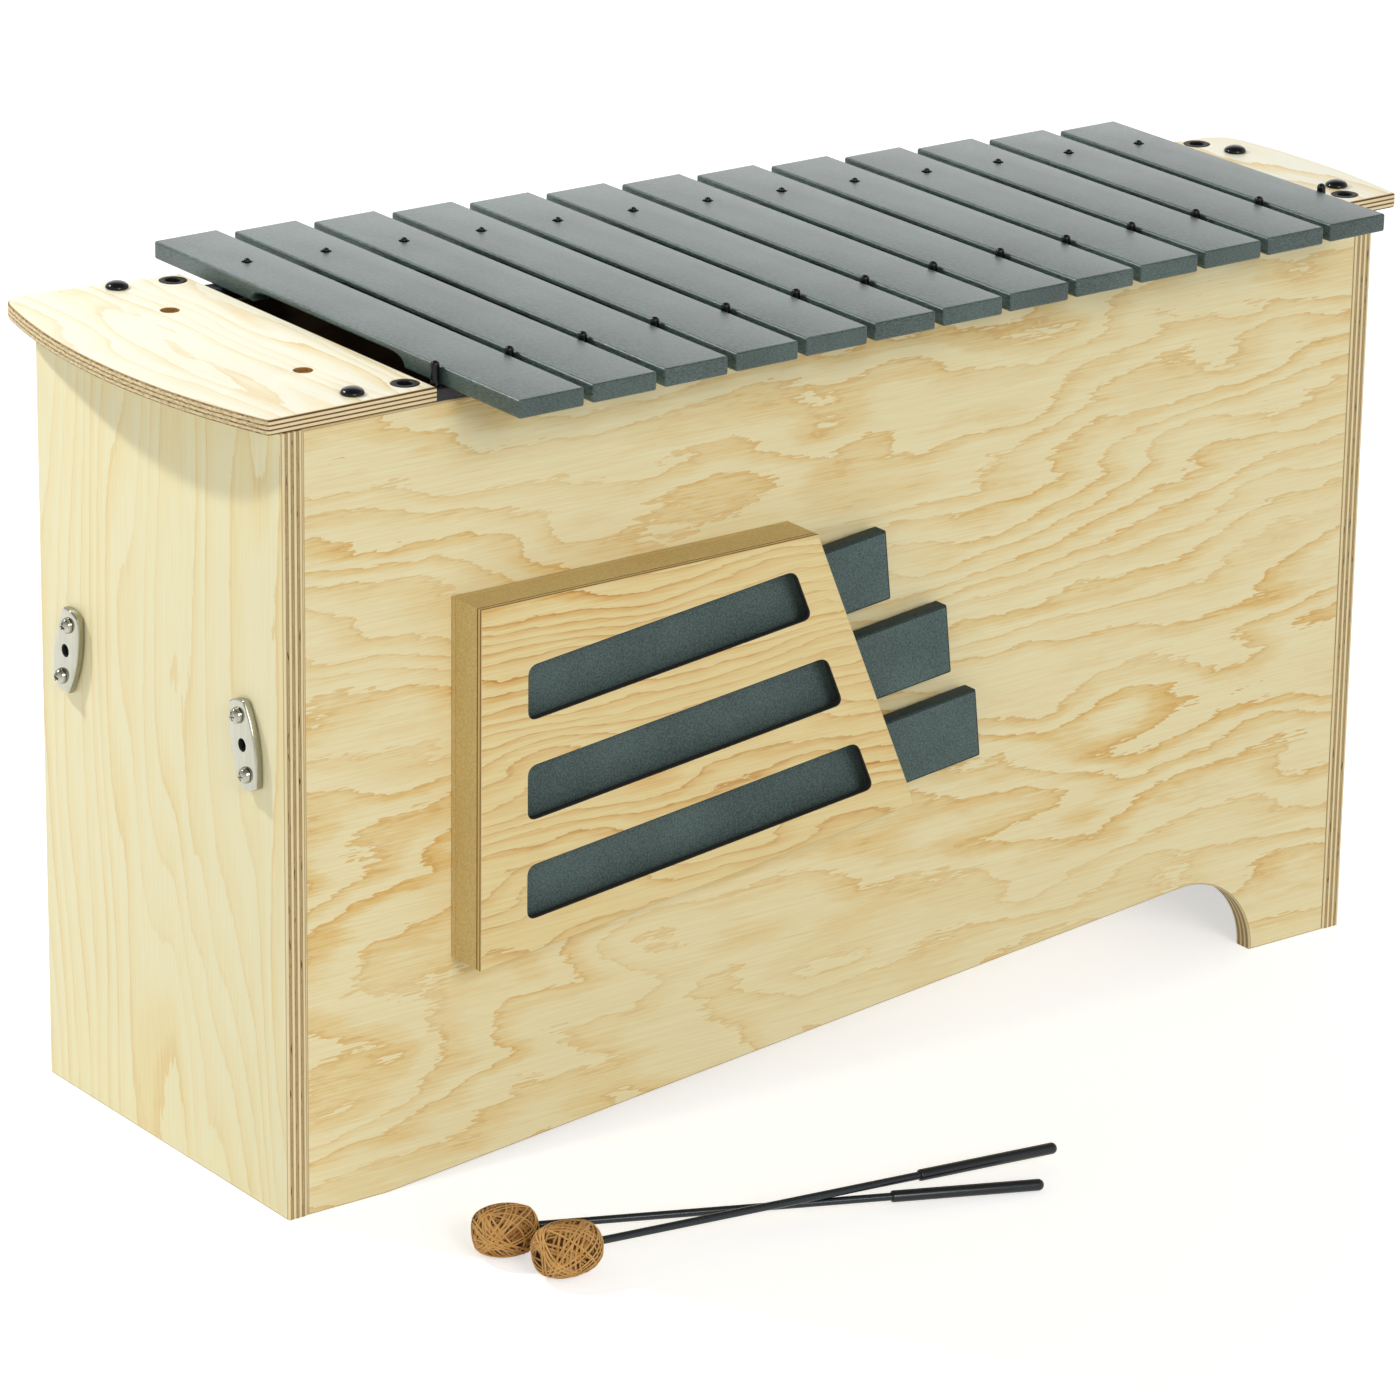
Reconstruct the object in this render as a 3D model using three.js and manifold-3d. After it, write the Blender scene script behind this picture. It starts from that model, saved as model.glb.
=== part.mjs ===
// Bass metallophone with its spare bars and a pair of wound mallets.
//
// A plywood resonator box, deep at its low end and shallow at its high end, carries a row of tuned
// metal bars on two black rails. The front rail has a peg in every gap between the bars, and the
// back rail has a pin through the back of every bar. A holder on the front panel keeps three spare
// bars in slanted channels, and two mallets lie crossed on the floor in front of the box.
//
// Millimetres, +Z up. While it is built, x runs from the left face of the box towards the high
// notes, y from the front face to the back, and z up from the floor. The finished group is moved so
// that its origin is the middle of its bottom.

import * as THREE from "three";
import { mergeVertices } from "three/addons/utils/BufferGeometryUtils.js";
import Module from "manifold-3d";

const wasm = await Module();
wasm.setup();

// Gap kept between pieces that touch
const fitGap = 0.3;

// Tuned bars
const barCount = 13;
const barWidth = 60;
const barThickness = 15;
const firstFrontOverhang = 97;
const lastFrontOverhang = 76;
const firstBackOverhang = 87.3;
const lastBackOverhang = 64.9;
const firstScoopInset = 40;
const lastScoopInset = 13;
const scoopDepth = 9.5;
const scoopEndLength = 22;

// Resonator box
const ply = 18;
const boxHeight = 645;
const leftDepth = 357;
const rightDepth = 197.5;
const leftLand = 140.2;
const rightLand = 46.8;
const leftFoot = 93;
const rightFoot = 101;
const archSlope = 0.0923;
const floorThickness = 12;
const floorLift = 16;

// Rails with their pegs and pins
const railWidth = 16;
const railHeight = 10.1;
const pegRadius = 3.6;
const pegClearance = 0.8;
const pinRadius = 2.8;
const pinClearance = 1.9;
const pinSetback = 4.5;
const pegRise = 5.3;
const pinRise = 3.2;

// Top boards
const boardThickness = 12.5;
const leftOverhang = 12;
const rightOverhang = 25;
const backOverhang = 29;
const boardBulgeRadius = 660;
const boardCornerReach = 24;
const fittingFrontInset = 21;
const fittingBackInset = 16;
const leftSocketInset = 15;
const leftBoltInset = 63;
const rightSocketInset = 33;
const rightBoltInset = 44;
const rightFrontBoltSetback = 23;
const rightBackBoltSetback = 36;
const plugHoleRadius = 7.5;
const plugHoleFloor = 5.5;
const plugHoleInset = 61;
const plugHolePlaces = [92, 283];

// Black bolts and sockets in the top boards
const boltHeadRadius = 9.5;
const boltHeadHeight = 5.6;
const boltShankRadius = 4;
const boltTipCover = 1.5;
const socketRadius = 11;
const socketBoreRadius = 6;
const socketFloor = 3.5;
const socketProud = 0.4;

// Holder for the spare bars
const holderLeft = 153.6;
const holderBottom = 188.3;
const holderTopLength = 324;
const holderSlope = 0.111;
const holderEndLean = 0.417;
const holderBackThickness = 5;
const holderFrameThickness = 28.9;
const holderFaceThickness = 6;
const holderBand = 8.1;
const holderTopBand = 27;
const holderLeftBand = 21.4;
const holderRib = 21.3;
const channelClearance = 0.6;
const channelEndGap = 1;
const slotHeight = 43.7;
const slotRise = 11.4;
const slotLeftMargin = 45;
const slotRightMargin = 34;
const slotCornerRadius = 8;
const spareLengths = [490, 457, 392];

// Plates on the end panels
const plateHeight = 69;
const plateEndWidth = 21;
const plateBulge = 13;
const plateEndBulge = 4;
const plateThickness = 7;
const plateCentreHeight = 383.5;
const plateInset = 48.5;
const plateLean = 13.5;
const plateHoleRadius = 5;
const plateScrewSpacing = 47;
const screwHeadRadius = 6.6;
const screwHeadHeight = 6.5;
const screwShankRadius = 2.1;
const screwShankLength = 20;

// Mallets
const headLength = 58;
const headRadius = 23.5;
const headEndShare = 0.54;
const yarnDiameter = 2.5;
const yarnTurnGap = 0.5;
const yarnStepsPerLoop = 15;
const yarnSides = 5;
const stickRadius = 3.2;
const stickRecess = 7;
const malletReach = 444.5;
const gripLength = 128;
const gripRadius = 4.8;
const gripEndWall = 6;
const lowerHeadPlace = [102.5, -149];
const upperHeadPlace = [120.5, -206];
const lowerHeading = -18.6;
const upperHeading = -6.8;
const malletGap = 0.5;

// Facets of round shapes
const holeSides = 12;
const pegSides = 8;
const domeRings = 3;
const curveSteps = 10;
const coreRings = 8;
const outlineSteps = 400;
const weldDistance = 1e-4;

// Places that follow from the sizes above
const barGap = 2 * (pegRadius + pegClearance);
const barPitch = barWidth + barGap;
const boxLength = leftLand + barCount * barPitch + barGap + rightLand;
const wallSlope = (leftDepth - rightDepth) / boxLength;
const plyAlongY = ply * Math.hypot(1, wallSlope);
const innerLeft = ply + fitGap;
const innerRight = boxLength - ply - fitGap;
const railBottom = boxHeight + fitGap;
const railTop = railBottom + railHeight;
const barBottom = railTop + fitGap;
const barTop = barBottom + barThickness;
const boardBottom = boxHeight + fitGap;
const boardTop = boardBottom + boardThickness;
const rightBoardEdge = boxLength - rightLand;

const backFaceY = (x) => leftDepth - wallSlope * x;
const pinY = (x) => backFaceY(x) - plyAlongY / 2 + pinSetback;
const boardBackY = (x) => backFaceY(x) + backOverhang;
const barMiddleX = (index) => leftLand + barGap + barWidth / 2 + index * barPitch;
const pegX = (index) => leftLand + barGap / 2 + index * barPitch;
const alongRow = (first, last, index) => first + ((last - first) * index) / (barCount - 1);

// Finishes
function finish(color, roughness, metalness = 0) {
  return new THREE.MeshStandardMaterial({ color, roughness, metalness });
}
const pinePly = finish("#ead9a6", 0.5);
const brownBoard = finish("#a8874f", 0.6);
const greyBar = finish("#7d8987", 0.5, 0.4);
const blackRubber = finish("#17181a", 0.6);
const nickel = finish("#c9cac6", 0.28, 1);
const darkStick = finish("#26333a", 0.4);
const tanYarn = finish("#a97b45", 0.9);
const paleCore = finish("#8a6840", 0.8);

const instrument = new THREE.Group();

function add(name, geometry, material, parent = instrument) {
  const mesh = new THREE.Mesh(geometry, material);
  mesh.name = name;
  parent.add(mesh);
  return mesh;
}

// Solid of a closed geometry: shared corners merged and flat slivers at a lathe's poles dropped
function solidOf(geometry) {
  const bare = geometry.clone();
  bare.deleteAttribute("normal");
  bare.deleteAttribute("uv");
  const merged = mergeVertices(bare, weldDistance);
  const corners = merged.index.array;
  const kept = [];
  for (let i = 0; i < corners.length; i += 3) {
    const [a, b, c] = [corners[i], corners[i + 1], corners[i + 2]];
    if (a !== b && b !== c && c !== a) kept.push(a, b, c);
  }
  const vertProperties = new Float32Array(merged.attributes.position.array);
  const triVerts = new Uint32Array(kept);
  return new wasm.Manifold(new wasm.Mesh({ numProp: 3, vertProperties, triVerts }));
}

function geometryOf(solid) {
  const mesh = solid.getMesh();
  const geometry = new THREE.BufferGeometry();
  geometry.setAttribute("position", new THREE.BufferAttribute(new Float32Array(mesh.vertProperties), 3));
  geometry.setIndex(new THREE.BufferAttribute(new Uint32Array(mesh.triVerts), 1));
  geometry.computeVertexNormals();
  return geometry;
}

function extrude(shape, depth) {
  return new THREE.ExtrudeGeometry(shape, { depth, bevelEnabled: false, curveSegments: curveSteps });
}

// Flat shape drawn in x and z, given a thickness towards the back from its front face
function uprightPanel(shape, frontY, thickness) {
  return extrude(shape, thickness).rotateX(Math.PI / 2).translate(0, frontY + thickness, 0);
}

function polygon(points) {
  return new THREE.Shape(points.map(([x, y]) => new THREE.Vector2(x, y)));
}

// Polygon with its corners rounded by a curve that starts and ends one reach from each corner
function roundedPolygon(points, reach) {
  const corners = points.map(([x, y]) => new THREE.Vector2(x, y));
  const shape = new THREE.Shape();
  corners.forEach((corner, i) => {
    const before = corners[(i + corners.length - 1) % corners.length];
    const after = corners[(i + 1) % corners.length];
    const start = before.clone().sub(corner).setLength(reach).add(corner);
    const end = after.clone().sub(corner).setLength(reach).add(corner);
    if (i === 0) shape.moveTo(start.x, start.y);
    else shape.lineTo(start.x, start.y);
    shape.quadraticCurveTo(corner.x, corner.y, end.x, end.y);
  });
  shape.closePath();
  return shape;
}

function circle(x, y, radius) {
  const angles = Array.from({ length: holeSides }, (_, i) => (2 * Math.PI * i) / holeSides);
  return polygon(angles.map((angle) => [x + radius * Math.cos(angle), y + radius * Math.sin(angle)]));
}

// Turned piece standing on z = 0: each profile point is [radius, height]
function turned(profile, sides = holeSides) {
  const points = profile.map(([radius, height]) => new THREE.Vector2(radius, height));
  return new THREE.LatheGeometry(points, sides).rotateX(Math.PI / 2);
}

// Quarter-ellipse profile from a rim at its base height up to the axis
function domeProfile(radius, base, height) {
  return Array.from({ length: domeRings + 1 }, (_, i) => {
    const angle = (i / domeRings) * (Math.PI / 2);
    return [i === domeRings ? 0 : radius * Math.cos(angle), base + height * Math.sin(angle)];
  });
}

// Front and back panels: straight sloping lower edge, ending in a round arch at the right foot
function panelOutline() {
  const footX = boxLength - rightFoot;
  const lineHeight = (x) => archSlope * (x - leftFoot);
  const archRadius = lineHeight(footX) / (Math.hypot(1, archSlope) + archSlope);
  const tangent = Math.PI / 2 + Math.atan(archSlope);
  const shape = new THREE.Shape();
  shape.moveTo(innerLeft, 0);
  shape.lineTo(leftFoot, 0);
  shape.absarc(footX - archRadius, 0, archRadius, tangent, 0, true);
  shape.lineTo(innerRight, 0);
  shape.lineTo(innerRight, boxHeight);
  shape.lineTo(innerLeft, boxHeight);
  shape.closePath();
  return shape;
}

add("front_panel", uprightPanel(panelOutline(), 0, ply), pinePly);

// The back wall is a panel whose thickness is stretched and slid so that it follows the slanted back
function alongBackWall(geometry) {
  const slide = new THREE.Matrix4();
  slide.set(1, 0, 0, 0, -wallSlope, 1, 0, leftDepth, 0, 0, 1, 0, 0, 0, 0, 1);
  return geometry.applyMatrix4(slide);
}
add("back_panel", alongBackWall(uprightPanel(panelOutline(), -plyAlongY, plyAlongY)), pinePly);

// Metal plates on the end panels, two screws each
const plates = ["left", "right"].flatMap((side) =>
  ["front", "rear"].map((row) => {
    const depth = side === "left" ? leftDepth : rightDepth;
    const lean = THREE.MathUtils.degToRad(plateLean) * (row === "front" ? 1 : -1);
    return { side, row, lean, y: row === "front" ? plateInset : depth - plateInset };
  })
);

// Screws stand at both ends of the plate's long axis, whose lower end leans outwards
function plateScrewPlaces(plate) {
  return [1, -1].map((end) => {
    const reach = (end * plateScrewSpacing) / 2;
    const rise = reach * Math.cos(plate.lean);
    return { y: plate.y + reach * Math.sin(plate.lean), z: plateCentreHeight + rise };
  });
}

function endPanel(side) {
  const outerX = side === "left" ? 0 : boxLength;
  const innerX = side === "left" ? ply : boxLength - ply;
  const plan = polygon([[outerX, 0], [innerX, 0], [innerX, backFaceY(innerX)], [outerX, backFaceY(outerX)]]);
  let panel = solidOf(extrude(plan, boxHeight));
  const holeDepth = screwShankLength - plateThickness;
  for (const plate of plates.filter((one) => one.side === side)) {
    for (const { y, z } of plateScrewPlaces(plate)) {
      const drill = turned([[0, -holeDepth], [screwShankRadius + fitGap, -holeDepth],
        [screwShankRadius + fitGap, holeDepth], [0, holeDepth]], pegSides);
      drill.rotateY(Math.PI / 2).translate(outerX, y, z);
      panel = panel.subtract(solidOf(drill));
    }
  }
  return geometryOf(panel);
}
add("left_end_panel", endPanel("left"), pinePly);
add("right_end_panel", endPanel("right"), pinePly);

// Resonator floor: rises with the panels' lower edge, so the box is shallower under the high notes
function floorBoard() {
  const front = ply + fitGap;
  const back = (x) => backFaceY(x) - plyAlongY - fitGap;
  const plan = polygon([
    [innerLeft, front], [innerRight, front], [innerRight, back(innerRight)], [innerLeft, back(innerLeft)],
  ]);
  const rise = new THREE.Matrix4();
  rise.set(1, 0, 0, 0, 0, 1, 0, 0, archSlope, 0, 1, floorLift - archSlope * leftFoot, 0, 0, 0, 1);
  return extrude(plan, floorThickness).applyMatrix4(rise);
}
add("floor_board", floorBoard(), pinePly);

// Rails: black strips on the panels' top edges, each in one piece with its domed pegs or pins
const railStart = leftLand + fitGap;
const railEnd = rightBoardEdge - fitGap;

function peg(radius, rise, x, y) {
  const domeBase = barTop + rise - railBottom - radius;
  const profile = [[0, 0], [radius, 0], ...domeProfile(radius, domeBase, radius)];
  return solidOf(turned(profile, pegSides).translate(x, y, railBottom));
}

function railStrip() {
  const section = polygon([
    [railStart, railBottom], [railEnd, railBottom], [railEnd, railTop], [railStart, railTop],
  ]);
  return uprightPanel(section, -railWidth / 2, railWidth);
}

function frontRail() {
  let rail = solidOf(railStrip().translate(0, ply / 2, 0));
  for (let i = 0; i <= barCount; i += 1) rail = rail.add(peg(pegRadius, pegRise, pegX(i), ply / 2));
  return geometryOf(rail);
}
add("front_peg_rail", frontRail(), blackRubber);

function backRail() {
  let rail = solidOf(alongBackWall(railStrip().translate(0, -plyAlongY / 2, 0)));
  for (let i = 0; i < barCount; i += 1) {
    rail = rail.add(peg(pinRadius, pinRise, barMiddleX(i), pinY(barMiddleX(i))));
  }
  return geometryOf(rail);
}
add("back_pin_rail", backRail(), blackRubber);

// Tuned bars reach past both walls. The underside is scooped out between the walls, and a hole over
// the back wall takes the pin.
function scoopedBar(index) {
  const backWall = backFaceY(barMiddleX(index));
  const front = -alongRow(firstFrontOverhang, lastFrontOverhang, index);
  const back = backWall + alongRow(firstBackOverhang, lastBackOverhang, index);
  const inset = alongRow(firstScoopInset, lastScoopInset, index);
  const start = ply + inset;
  const end = backWall - plyAlongY - inset;
  const side = new THREE.Shape();
  side.moveTo(front, 0);
  side.lineTo(start, 0);
  side.quadraticCurveTo(start, scoopDepth, start + scoopEndLength, scoopDepth);
  side.lineTo(end - scoopEndLength, scoopDepth);
  side.quadraticCurveTo(end, scoopDepth, end, 0);
  side.lineTo(back, 0);
  side.lineTo(back, barThickness);
  side.lineTo(front, barThickness);
  side.closePath();
  const lengthwise = new THREE.Matrix4();
  lengthwise.makeBasis(new THREE.Vector3(0, 1, 0), new THREE.Vector3(0, 0, 1), new THREE.Vector3(1, 0, 0));
  return extrude(side, barWidth).applyMatrix4(lengthwise);
}

for (let i = 0; i < barCount; i += 1) {
  const x = barMiddleX(i);
  const blank = scoopedBar(i).translate(x - barWidth / 2, 0, barBottom);
  const drillRadius = pinRadius + pinClearance;
  const drillTop = 2 * barThickness;
  const drill = turned([
    [0, -barThickness], [drillRadius, -barThickness], [drillRadius, drillTop], [0, drillTop],
  ]);
  drill.translate(x, pinY(x), barBottom);
  add(`bar_${String(i + 1).padStart(2, "0")}`, geometryOf(solidOf(blank).subtract(solidOf(drill))), greyBar);
}

// Top boards: straight front and inner edges, bulging outer edge, back edge along the slanted wall
function boardOutline(innerX, outerX) {
  const outwards = Math.sign(outerX - innerX);
  const backY = boardBackY(outerX);
  const half = backY / 2;
  const centreX = outerX - outwards * Math.sqrt(boardBulgeRadius ** 2 - half ** 2);
  const startAngle = Math.asin(-half / boardBulgeRadius);
  const endAngle = Math.asin((half - boardCornerReach) / boardBulgeRadius);
  const turn = (angle) => (outwards > 0 ? angle : Math.PI - angle);
  const shape = new THREE.Shape();
  shape.moveTo(innerX, 0);
  shape.lineTo(outerX, 0);
  shape.absarc(centreX, half, boardBulgeRadius, turn(startAngle), turn(endAngle), outwards < 0);
  const cornerEndX = outerX - outwards * boardCornerReach;
  shape.quadraticCurveTo(outerX, backY, cornerEndX, boardBackY(cornerEndX));
  shape.lineTo(innerX, boardBackY(innerX));
  shape.closePath();
  return shape;
}

// Fittings stand in two rows, one near the front edge of a board and one near its back edge. A setback
// moves a fitting from its row towards the middle of the board.
function fittingPair(x, frontSetback = 0, backSetback = 0) {
  return [[x, fittingFrontInset + frontSetback], [x, boardBackY(x) - fittingBackInset - backSetback]];
}
const boltPlaces = {
  left: fittingPair(leftLand - leftBoltInset),
  right: fittingPair(rightBoardEdge + rightBoltInset, rightFrontBoltSetback, rightBackBoltSetback),
};
const socketPlaces = {
  left: fittingPair(leftLand - leftSocketInset),
  right: fittingPair(rightBoardEdge + rightSocketInset),
};

function topBoard(side) {
  const outline = side === "left"
    ? boardOutline(leftLand, -leftOverhang)
    : boardOutline(rightBoardEdge, boxLength + rightOverhang);
  for (const [x, y] of boltPlaces[side]) outline.holes.push(circle(x, y, boltShankRadius + fitGap));
  for (const [x, y] of socketPlaces[side]) outline.holes.push(circle(x, y, socketRadius + fitGap));
  return extrude(outline, boardThickness).translate(0, 0, boardBottom);
}

// The left board also has two blind plug holes
function leftBoard() {
  let board = solidOf(topBoard("left"));
  const drillTop = 2 * boardThickness;
  for (const y of plugHolePlaces) {
    const drill = turned([[0, 0], [plugHoleRadius, 0], [plugHoleRadius, drillTop], [0, drillTop]]);
    drill.translate(leftLand - plugHoleInset, y, boardBottom + plugHoleFloor);
    board = board.subtract(solidOf(drill));
  }
  return geometryOf(board);
}
add("left_top_board", leftBoard(), pinePly);
add("right_top_board", topBoard("right"), pinePly);

// Domed bolts sit on the boards, sockets are let into them and open upwards
function domedBolt() {
  const tip = boltTipCover - boardThickness;
  return turned([[0, tip], [boltShankRadius, tip], [boltShankRadius, fitGap],
    [boltHeadRadius, fitGap], ...domeProfile(boltHeadRadius, fitGap * 2, boltHeadHeight)]);
}

function socket() {
  const boreEnd = socketFloor - boardThickness;
  return turned([[0, -boardThickness], [socketRadius, -boardThickness], [socketRadius, socketProud],
    [socketBoreRadius, socketProud], [socketBoreRadius, boreEnd], [0, boreEnd]]);
}

for (const side of ["left", "right"]) {
  ["front", "rear"].forEach((row, i) => {
    const [boltX, boltY] = boltPlaces[side][i];
    const [socketX, socketY] = socketPlaces[side][i];
    add(`${side}_${row}_bolt`, domedBolt().translate(boltX, boltY, boardTop), blackRubber);
    add(`${side}_${row}_socket`, socket().translate(socketX, socketY, boardTop), blackRubber);
  });
}

// Plates and their screws, drawn flat and set against the end panels
function plateShape() {
  const halfEnd = plateEndWidth / 2;
  const halfHeight = plateHeight / 2;
  const shape = new THREE.Shape();
  shape.moveTo(-halfEnd, -halfHeight);
  shape.quadraticCurveTo(0, -halfHeight - plateEndBulge, halfEnd, -halfHeight);
  shape.quadraticCurveTo(halfEnd + plateBulge, 0, halfEnd, halfHeight);
  shape.quadraticCurveTo(0, halfHeight + plateEndBulge, -halfEnd, halfHeight);
  shape.quadraticCurveTo(-halfEnd - plateBulge, 0, -halfEnd, -halfHeight);
  shape.holes.push(circle(0, 0, plateHoleRadius));
  for (const end of [1, -1]) {
    shape.holes.push(circle(0, (end * plateScrewSpacing) / 2, screwShankRadius + fitGap));
  }
  return shape;
}

function screw() {
  const tip = plateThickness - screwShankLength + 2 * fitGap;
  const headBase = plateThickness + fitGap;
  return turned([[0, tip], [screwShankRadius, tip], [screwShankRadius, headBase], [screwHeadRadius, headBase],
    ...domeProfile(screwHeadRadius, headBase + fitGap, screwHeadHeight)]);
}

for (const plate of plates) {
  const outwards = plate.side === "left" ? -1 : 1;
  const holder = new THREE.Group();
  const basis = new THREE.Matrix4();
  const sideways = new THREE.Vector3(0, outwards, 0);
  basis.makeBasis(sideways, new THREE.Vector3(0, 0, 1), new THREE.Vector3(outwards, 0, 0));
  holder.quaternion.setFromRotationMatrix(basis);
  holder.rotateZ(-outwards * plate.lean);
  holder.position.set(plate.side === "left" ? -fitGap : boxLength + fitGap, plate.y, plateCentreHeight);
  instrument.add(holder);
  const name = `${plate.side}_${plate.row}_plate`;
  add(name, extrude(plateShape(), plateThickness), nickel, holder);
  [["upper", 1], ["lower", -1]].forEach(([place, end]) => {
    const one = add(`${name}_${place}_screw`, screw(), nickel, holder);
    one.position.y = (end * plateScrewSpacing) / 2;
  });
}

// Holder: slanted coordinates run along the channels (s) and across them (t) from its lower left corner
const slant = Math.atan(holderSlope);
const channelWidth = barWidth + 2 * channelClearance;
const channelMiddle = (i) => holderBand + channelWidth / 2 + i * (channelWidth + holderRib);
const holderRight = holderLeft + holderTopLength;
const lastChannelTop = channelMiddle(spareLengths.length - 1) + channelWidth / 2;
const channelsHeight = lastChannelTop / Math.cos(slant) + holderSlope * holderTopLength;
const holderTop = holderBottom + channelsHeight + holderTopBand;
const holderBackY = -fitGap - holderBackThickness;
const holderFrameY = holderBackY - fitGap - holderFrameThickness;
const holderFaceY = holderFrameY - fitGap - holderFaceThickness;

const slantedPoint = (s, t) => [
  holderLeft + s * Math.cos(slant) - t * Math.sin(slant),
  holderBottom + s * Math.sin(slant) + t * Math.cos(slant),
];
const leftEdgeS = (t, inset) => (inset + t * Math.sin(slant)) / Math.cos(slant);

// Distance along a channel line to the leaning right edge, less an inset
function rightEdgeS(t, inset) {
  const reach = holderTopLength - inset + t * Math.sin(slant);
  const drop = holderTop - holderBottom - t * Math.cos(slant);
  return (reach + holderEndLean * drop) / (Math.cos(slant) + holderEndLean * Math.sin(slant));
}

const holderCorners = [
  [holderLeft, holderTop],
  [holderLeft, holderBottom],
  slantedPoint(rightEdgeS(0, 0), 0),
  [holderRight, holderTop],
];

// The frame is a comb: its channels are open at the right edge and closed at the left
function holderFrameShape() {
  const channels = spareLengths.flatMap((_, i) => {
    const low = channelMiddle(i) - channelWidth / 2;
    const high = channelMiddle(i) + channelWidth / 2;
    const closedEnd = leftEdgeS(channelMiddle(i), holderLeftBand);
    return [slantedPoint(rightEdgeS(low, 0), low), slantedPoint(closedEnd, low),
      slantedPoint(closedEnd, high), slantedPoint(rightEdgeS(high, 0), high)];
  });
  const [topLeft, bottomLeft, bottomRight, topRight] = holderCorners;
  return polygon([topLeft, bottomLeft, bottomRight, ...channels, topRight]);
}

function holderFaceShape() {
  const face = polygon(holderCorners);
  spareLengths.forEach((_, i) => {
    const low = channelMiddle(i) + slotRise - slotHeight / 2;
    const high = low + slotHeight;
    const corners = [
      slantedPoint(leftEdgeS(low, slotLeftMargin), low),
      slantedPoint(rightEdgeS(low, slotRightMargin), low),
      slantedPoint(rightEdgeS(high, slotRightMargin), high),
      slantedPoint(leftEdgeS(high, slotLeftMargin), high),
    ];
    face.holes.push(roundedPolygon(corners, slotCornerRadius));
  });
  return face;
}
add("holder_back", uprightPanel(polygon(holderCorners), holderBackY, holderBackThickness), brownBoard);
add("holder_frame", uprightPanel(holderFrameShape(), holderFrameY, holderFrameThickness), brownBoard);
add("holder_face", uprightPanel(holderFaceShape(), holderFaceY, holderFaceThickness), pinePly);

// Spare bars lie in the channels against the holder's back, their ends standing out to the right
spareLengths.forEach((length, i) => {
  const start = leftEdgeS(channelMiddle(i), holderLeftBand) + channelEndGap;
  const end = start + length;
  const low = channelMiddle(i) - barWidth / 2;
  const high = low + barWidth;
  const corners = [[start, low], [end, low], [end, high], [start, high]];
  const outline = polygon(corners.map(([s, t]) => slantedPoint(s, t)));
  const frontY = holderBackY - fitGap - barThickness;
  add(`spare_bar_${i + 1}`, uprightPanel(outline, frontY, barThickness), greyBar);
});

// Mallet head: the yarn's middle line lies on a barrel, and the core fills the barrel under it
const yarnRadius = yarnDiameter / 2;
const barrelLength = headLength - yarnDiameter;
const barrelRadius = headRadius - yarnRadius;
const barrelEndDrop = 1 - headEndShare ** 2;
const barrelAt = (s) => barrelRadius * Math.sqrt(1 - barrelEndDrop * ((2 * s) / barrelLength) ** 2);

// Fine places along the axis, with the length of the barrel's outline travelled up to each
const places = Array.from({ length: outlineSteps + 1 }, (_, i) => barrelLength * (i / outlineSteps - 0.5));
const travelled = [0];
for (let i = 1; i <= outlineSteps; i += 1) {
  const swell = barrelAt(places[i]) - barrelAt(places[i - 1]);
  travelled.push(travelled[i - 1] + Math.hypot(places[i] - places[i - 1], swell));
}
const outlineLength = travelled[outlineSteps];
const yarnLoops = Math.floor(outlineLength / (yarnDiameter + yarnTurnGap));

// Places along the axis that part the barrel's outline into equal lengths of surface
function evenPlaces(count) {
  return Array.from({ length: count + 1 }, (_, k) => {
    const wanted = outlineLength * (k / count);
    const i = Math.min(outlineSteps, Math.max(1, travelled.findIndex((one) => one >= wanted)));
    const share = (wanted - travelled[i - 1]) / (travelled[i] - travelled[i - 1]);
    return places[i - 1] + share * (places[i] - places[i - 1]);
  });
}

// Middle line of the yarn: turns about the x axis while it creeps evenly over the barrel
function yarnLine(stepsPerLoop) {
  return evenPlaces(yarnLoops * stepsPerLoop).map((s, k) => {
    const angle = (2 * Math.PI * k) / stepsPerLoop;
    return new THREE.Vector3(s, barrelAt(s) * Math.cos(angle), barrelAt(s) * Math.sin(angle));
  });
}

// One unbroken tube: a ring of points round every point of the line, and a flat cap at each end
function yarnTube() {
  const line = yarnLine(yarnStepsPerLoop);
  const positions = [];
  const triangles = [];
  line.forEach((point, k) => {
    const ahead = line[Math.min(k + 1, line.length - 1)];
    const behind = line[Math.max(k - 1, 0)];
    const forwards = ahead.clone().sub(behind).normalize();
    const outwards = new THREE.Vector3(0, point.y, point.z);
    outwards.addScaledVector(forwards, -outwards.dot(forwards)).normalize();
    const sideways = forwards.clone().cross(outwards);
    for (let i = 0; i < yarnSides; i += 1) {
      const angle = (2 * Math.PI * i) / yarnSides;
      const spoke = outwards.clone().multiplyScalar(Math.cos(angle));
      spoke.addScaledVector(sideways, Math.sin(angle));
      positions.push(...spoke.multiplyScalar(yarnRadius).add(point).toArray());
    }
  });
  const ringAt = (k, i) => k * yarnSides + (i % yarnSides);
  const last = line.length - 1;
  for (let k = 0; k < last; k += 1) {
    for (let i = 0; i < yarnSides; i += 1) {
      triangles.push(ringAt(k, i), ringAt(k, i + 1), ringAt(k + 1, i + 1));
      triangles.push(ringAt(k, i), ringAt(k + 1, i + 1), ringAt(k + 1, i));
    }
  }
  for (let i = 1; i < yarnSides - 1; i += 1) {
    triangles.push(ringAt(0, 0), ringAt(0, i + 1), ringAt(0, i));
    triangles.push(ringAt(last, 0), ringAt(last, i), ringAt(last, i + 1));
  }
  const geometry = new THREE.BufferGeometry();
  geometry.setAttribute("position", new THREE.Float32BufferAttribute(positions, 3));
  geometry.setIndex(triangles);
  geometry.computeVertexNormals();
  return geometry;
}

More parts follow.
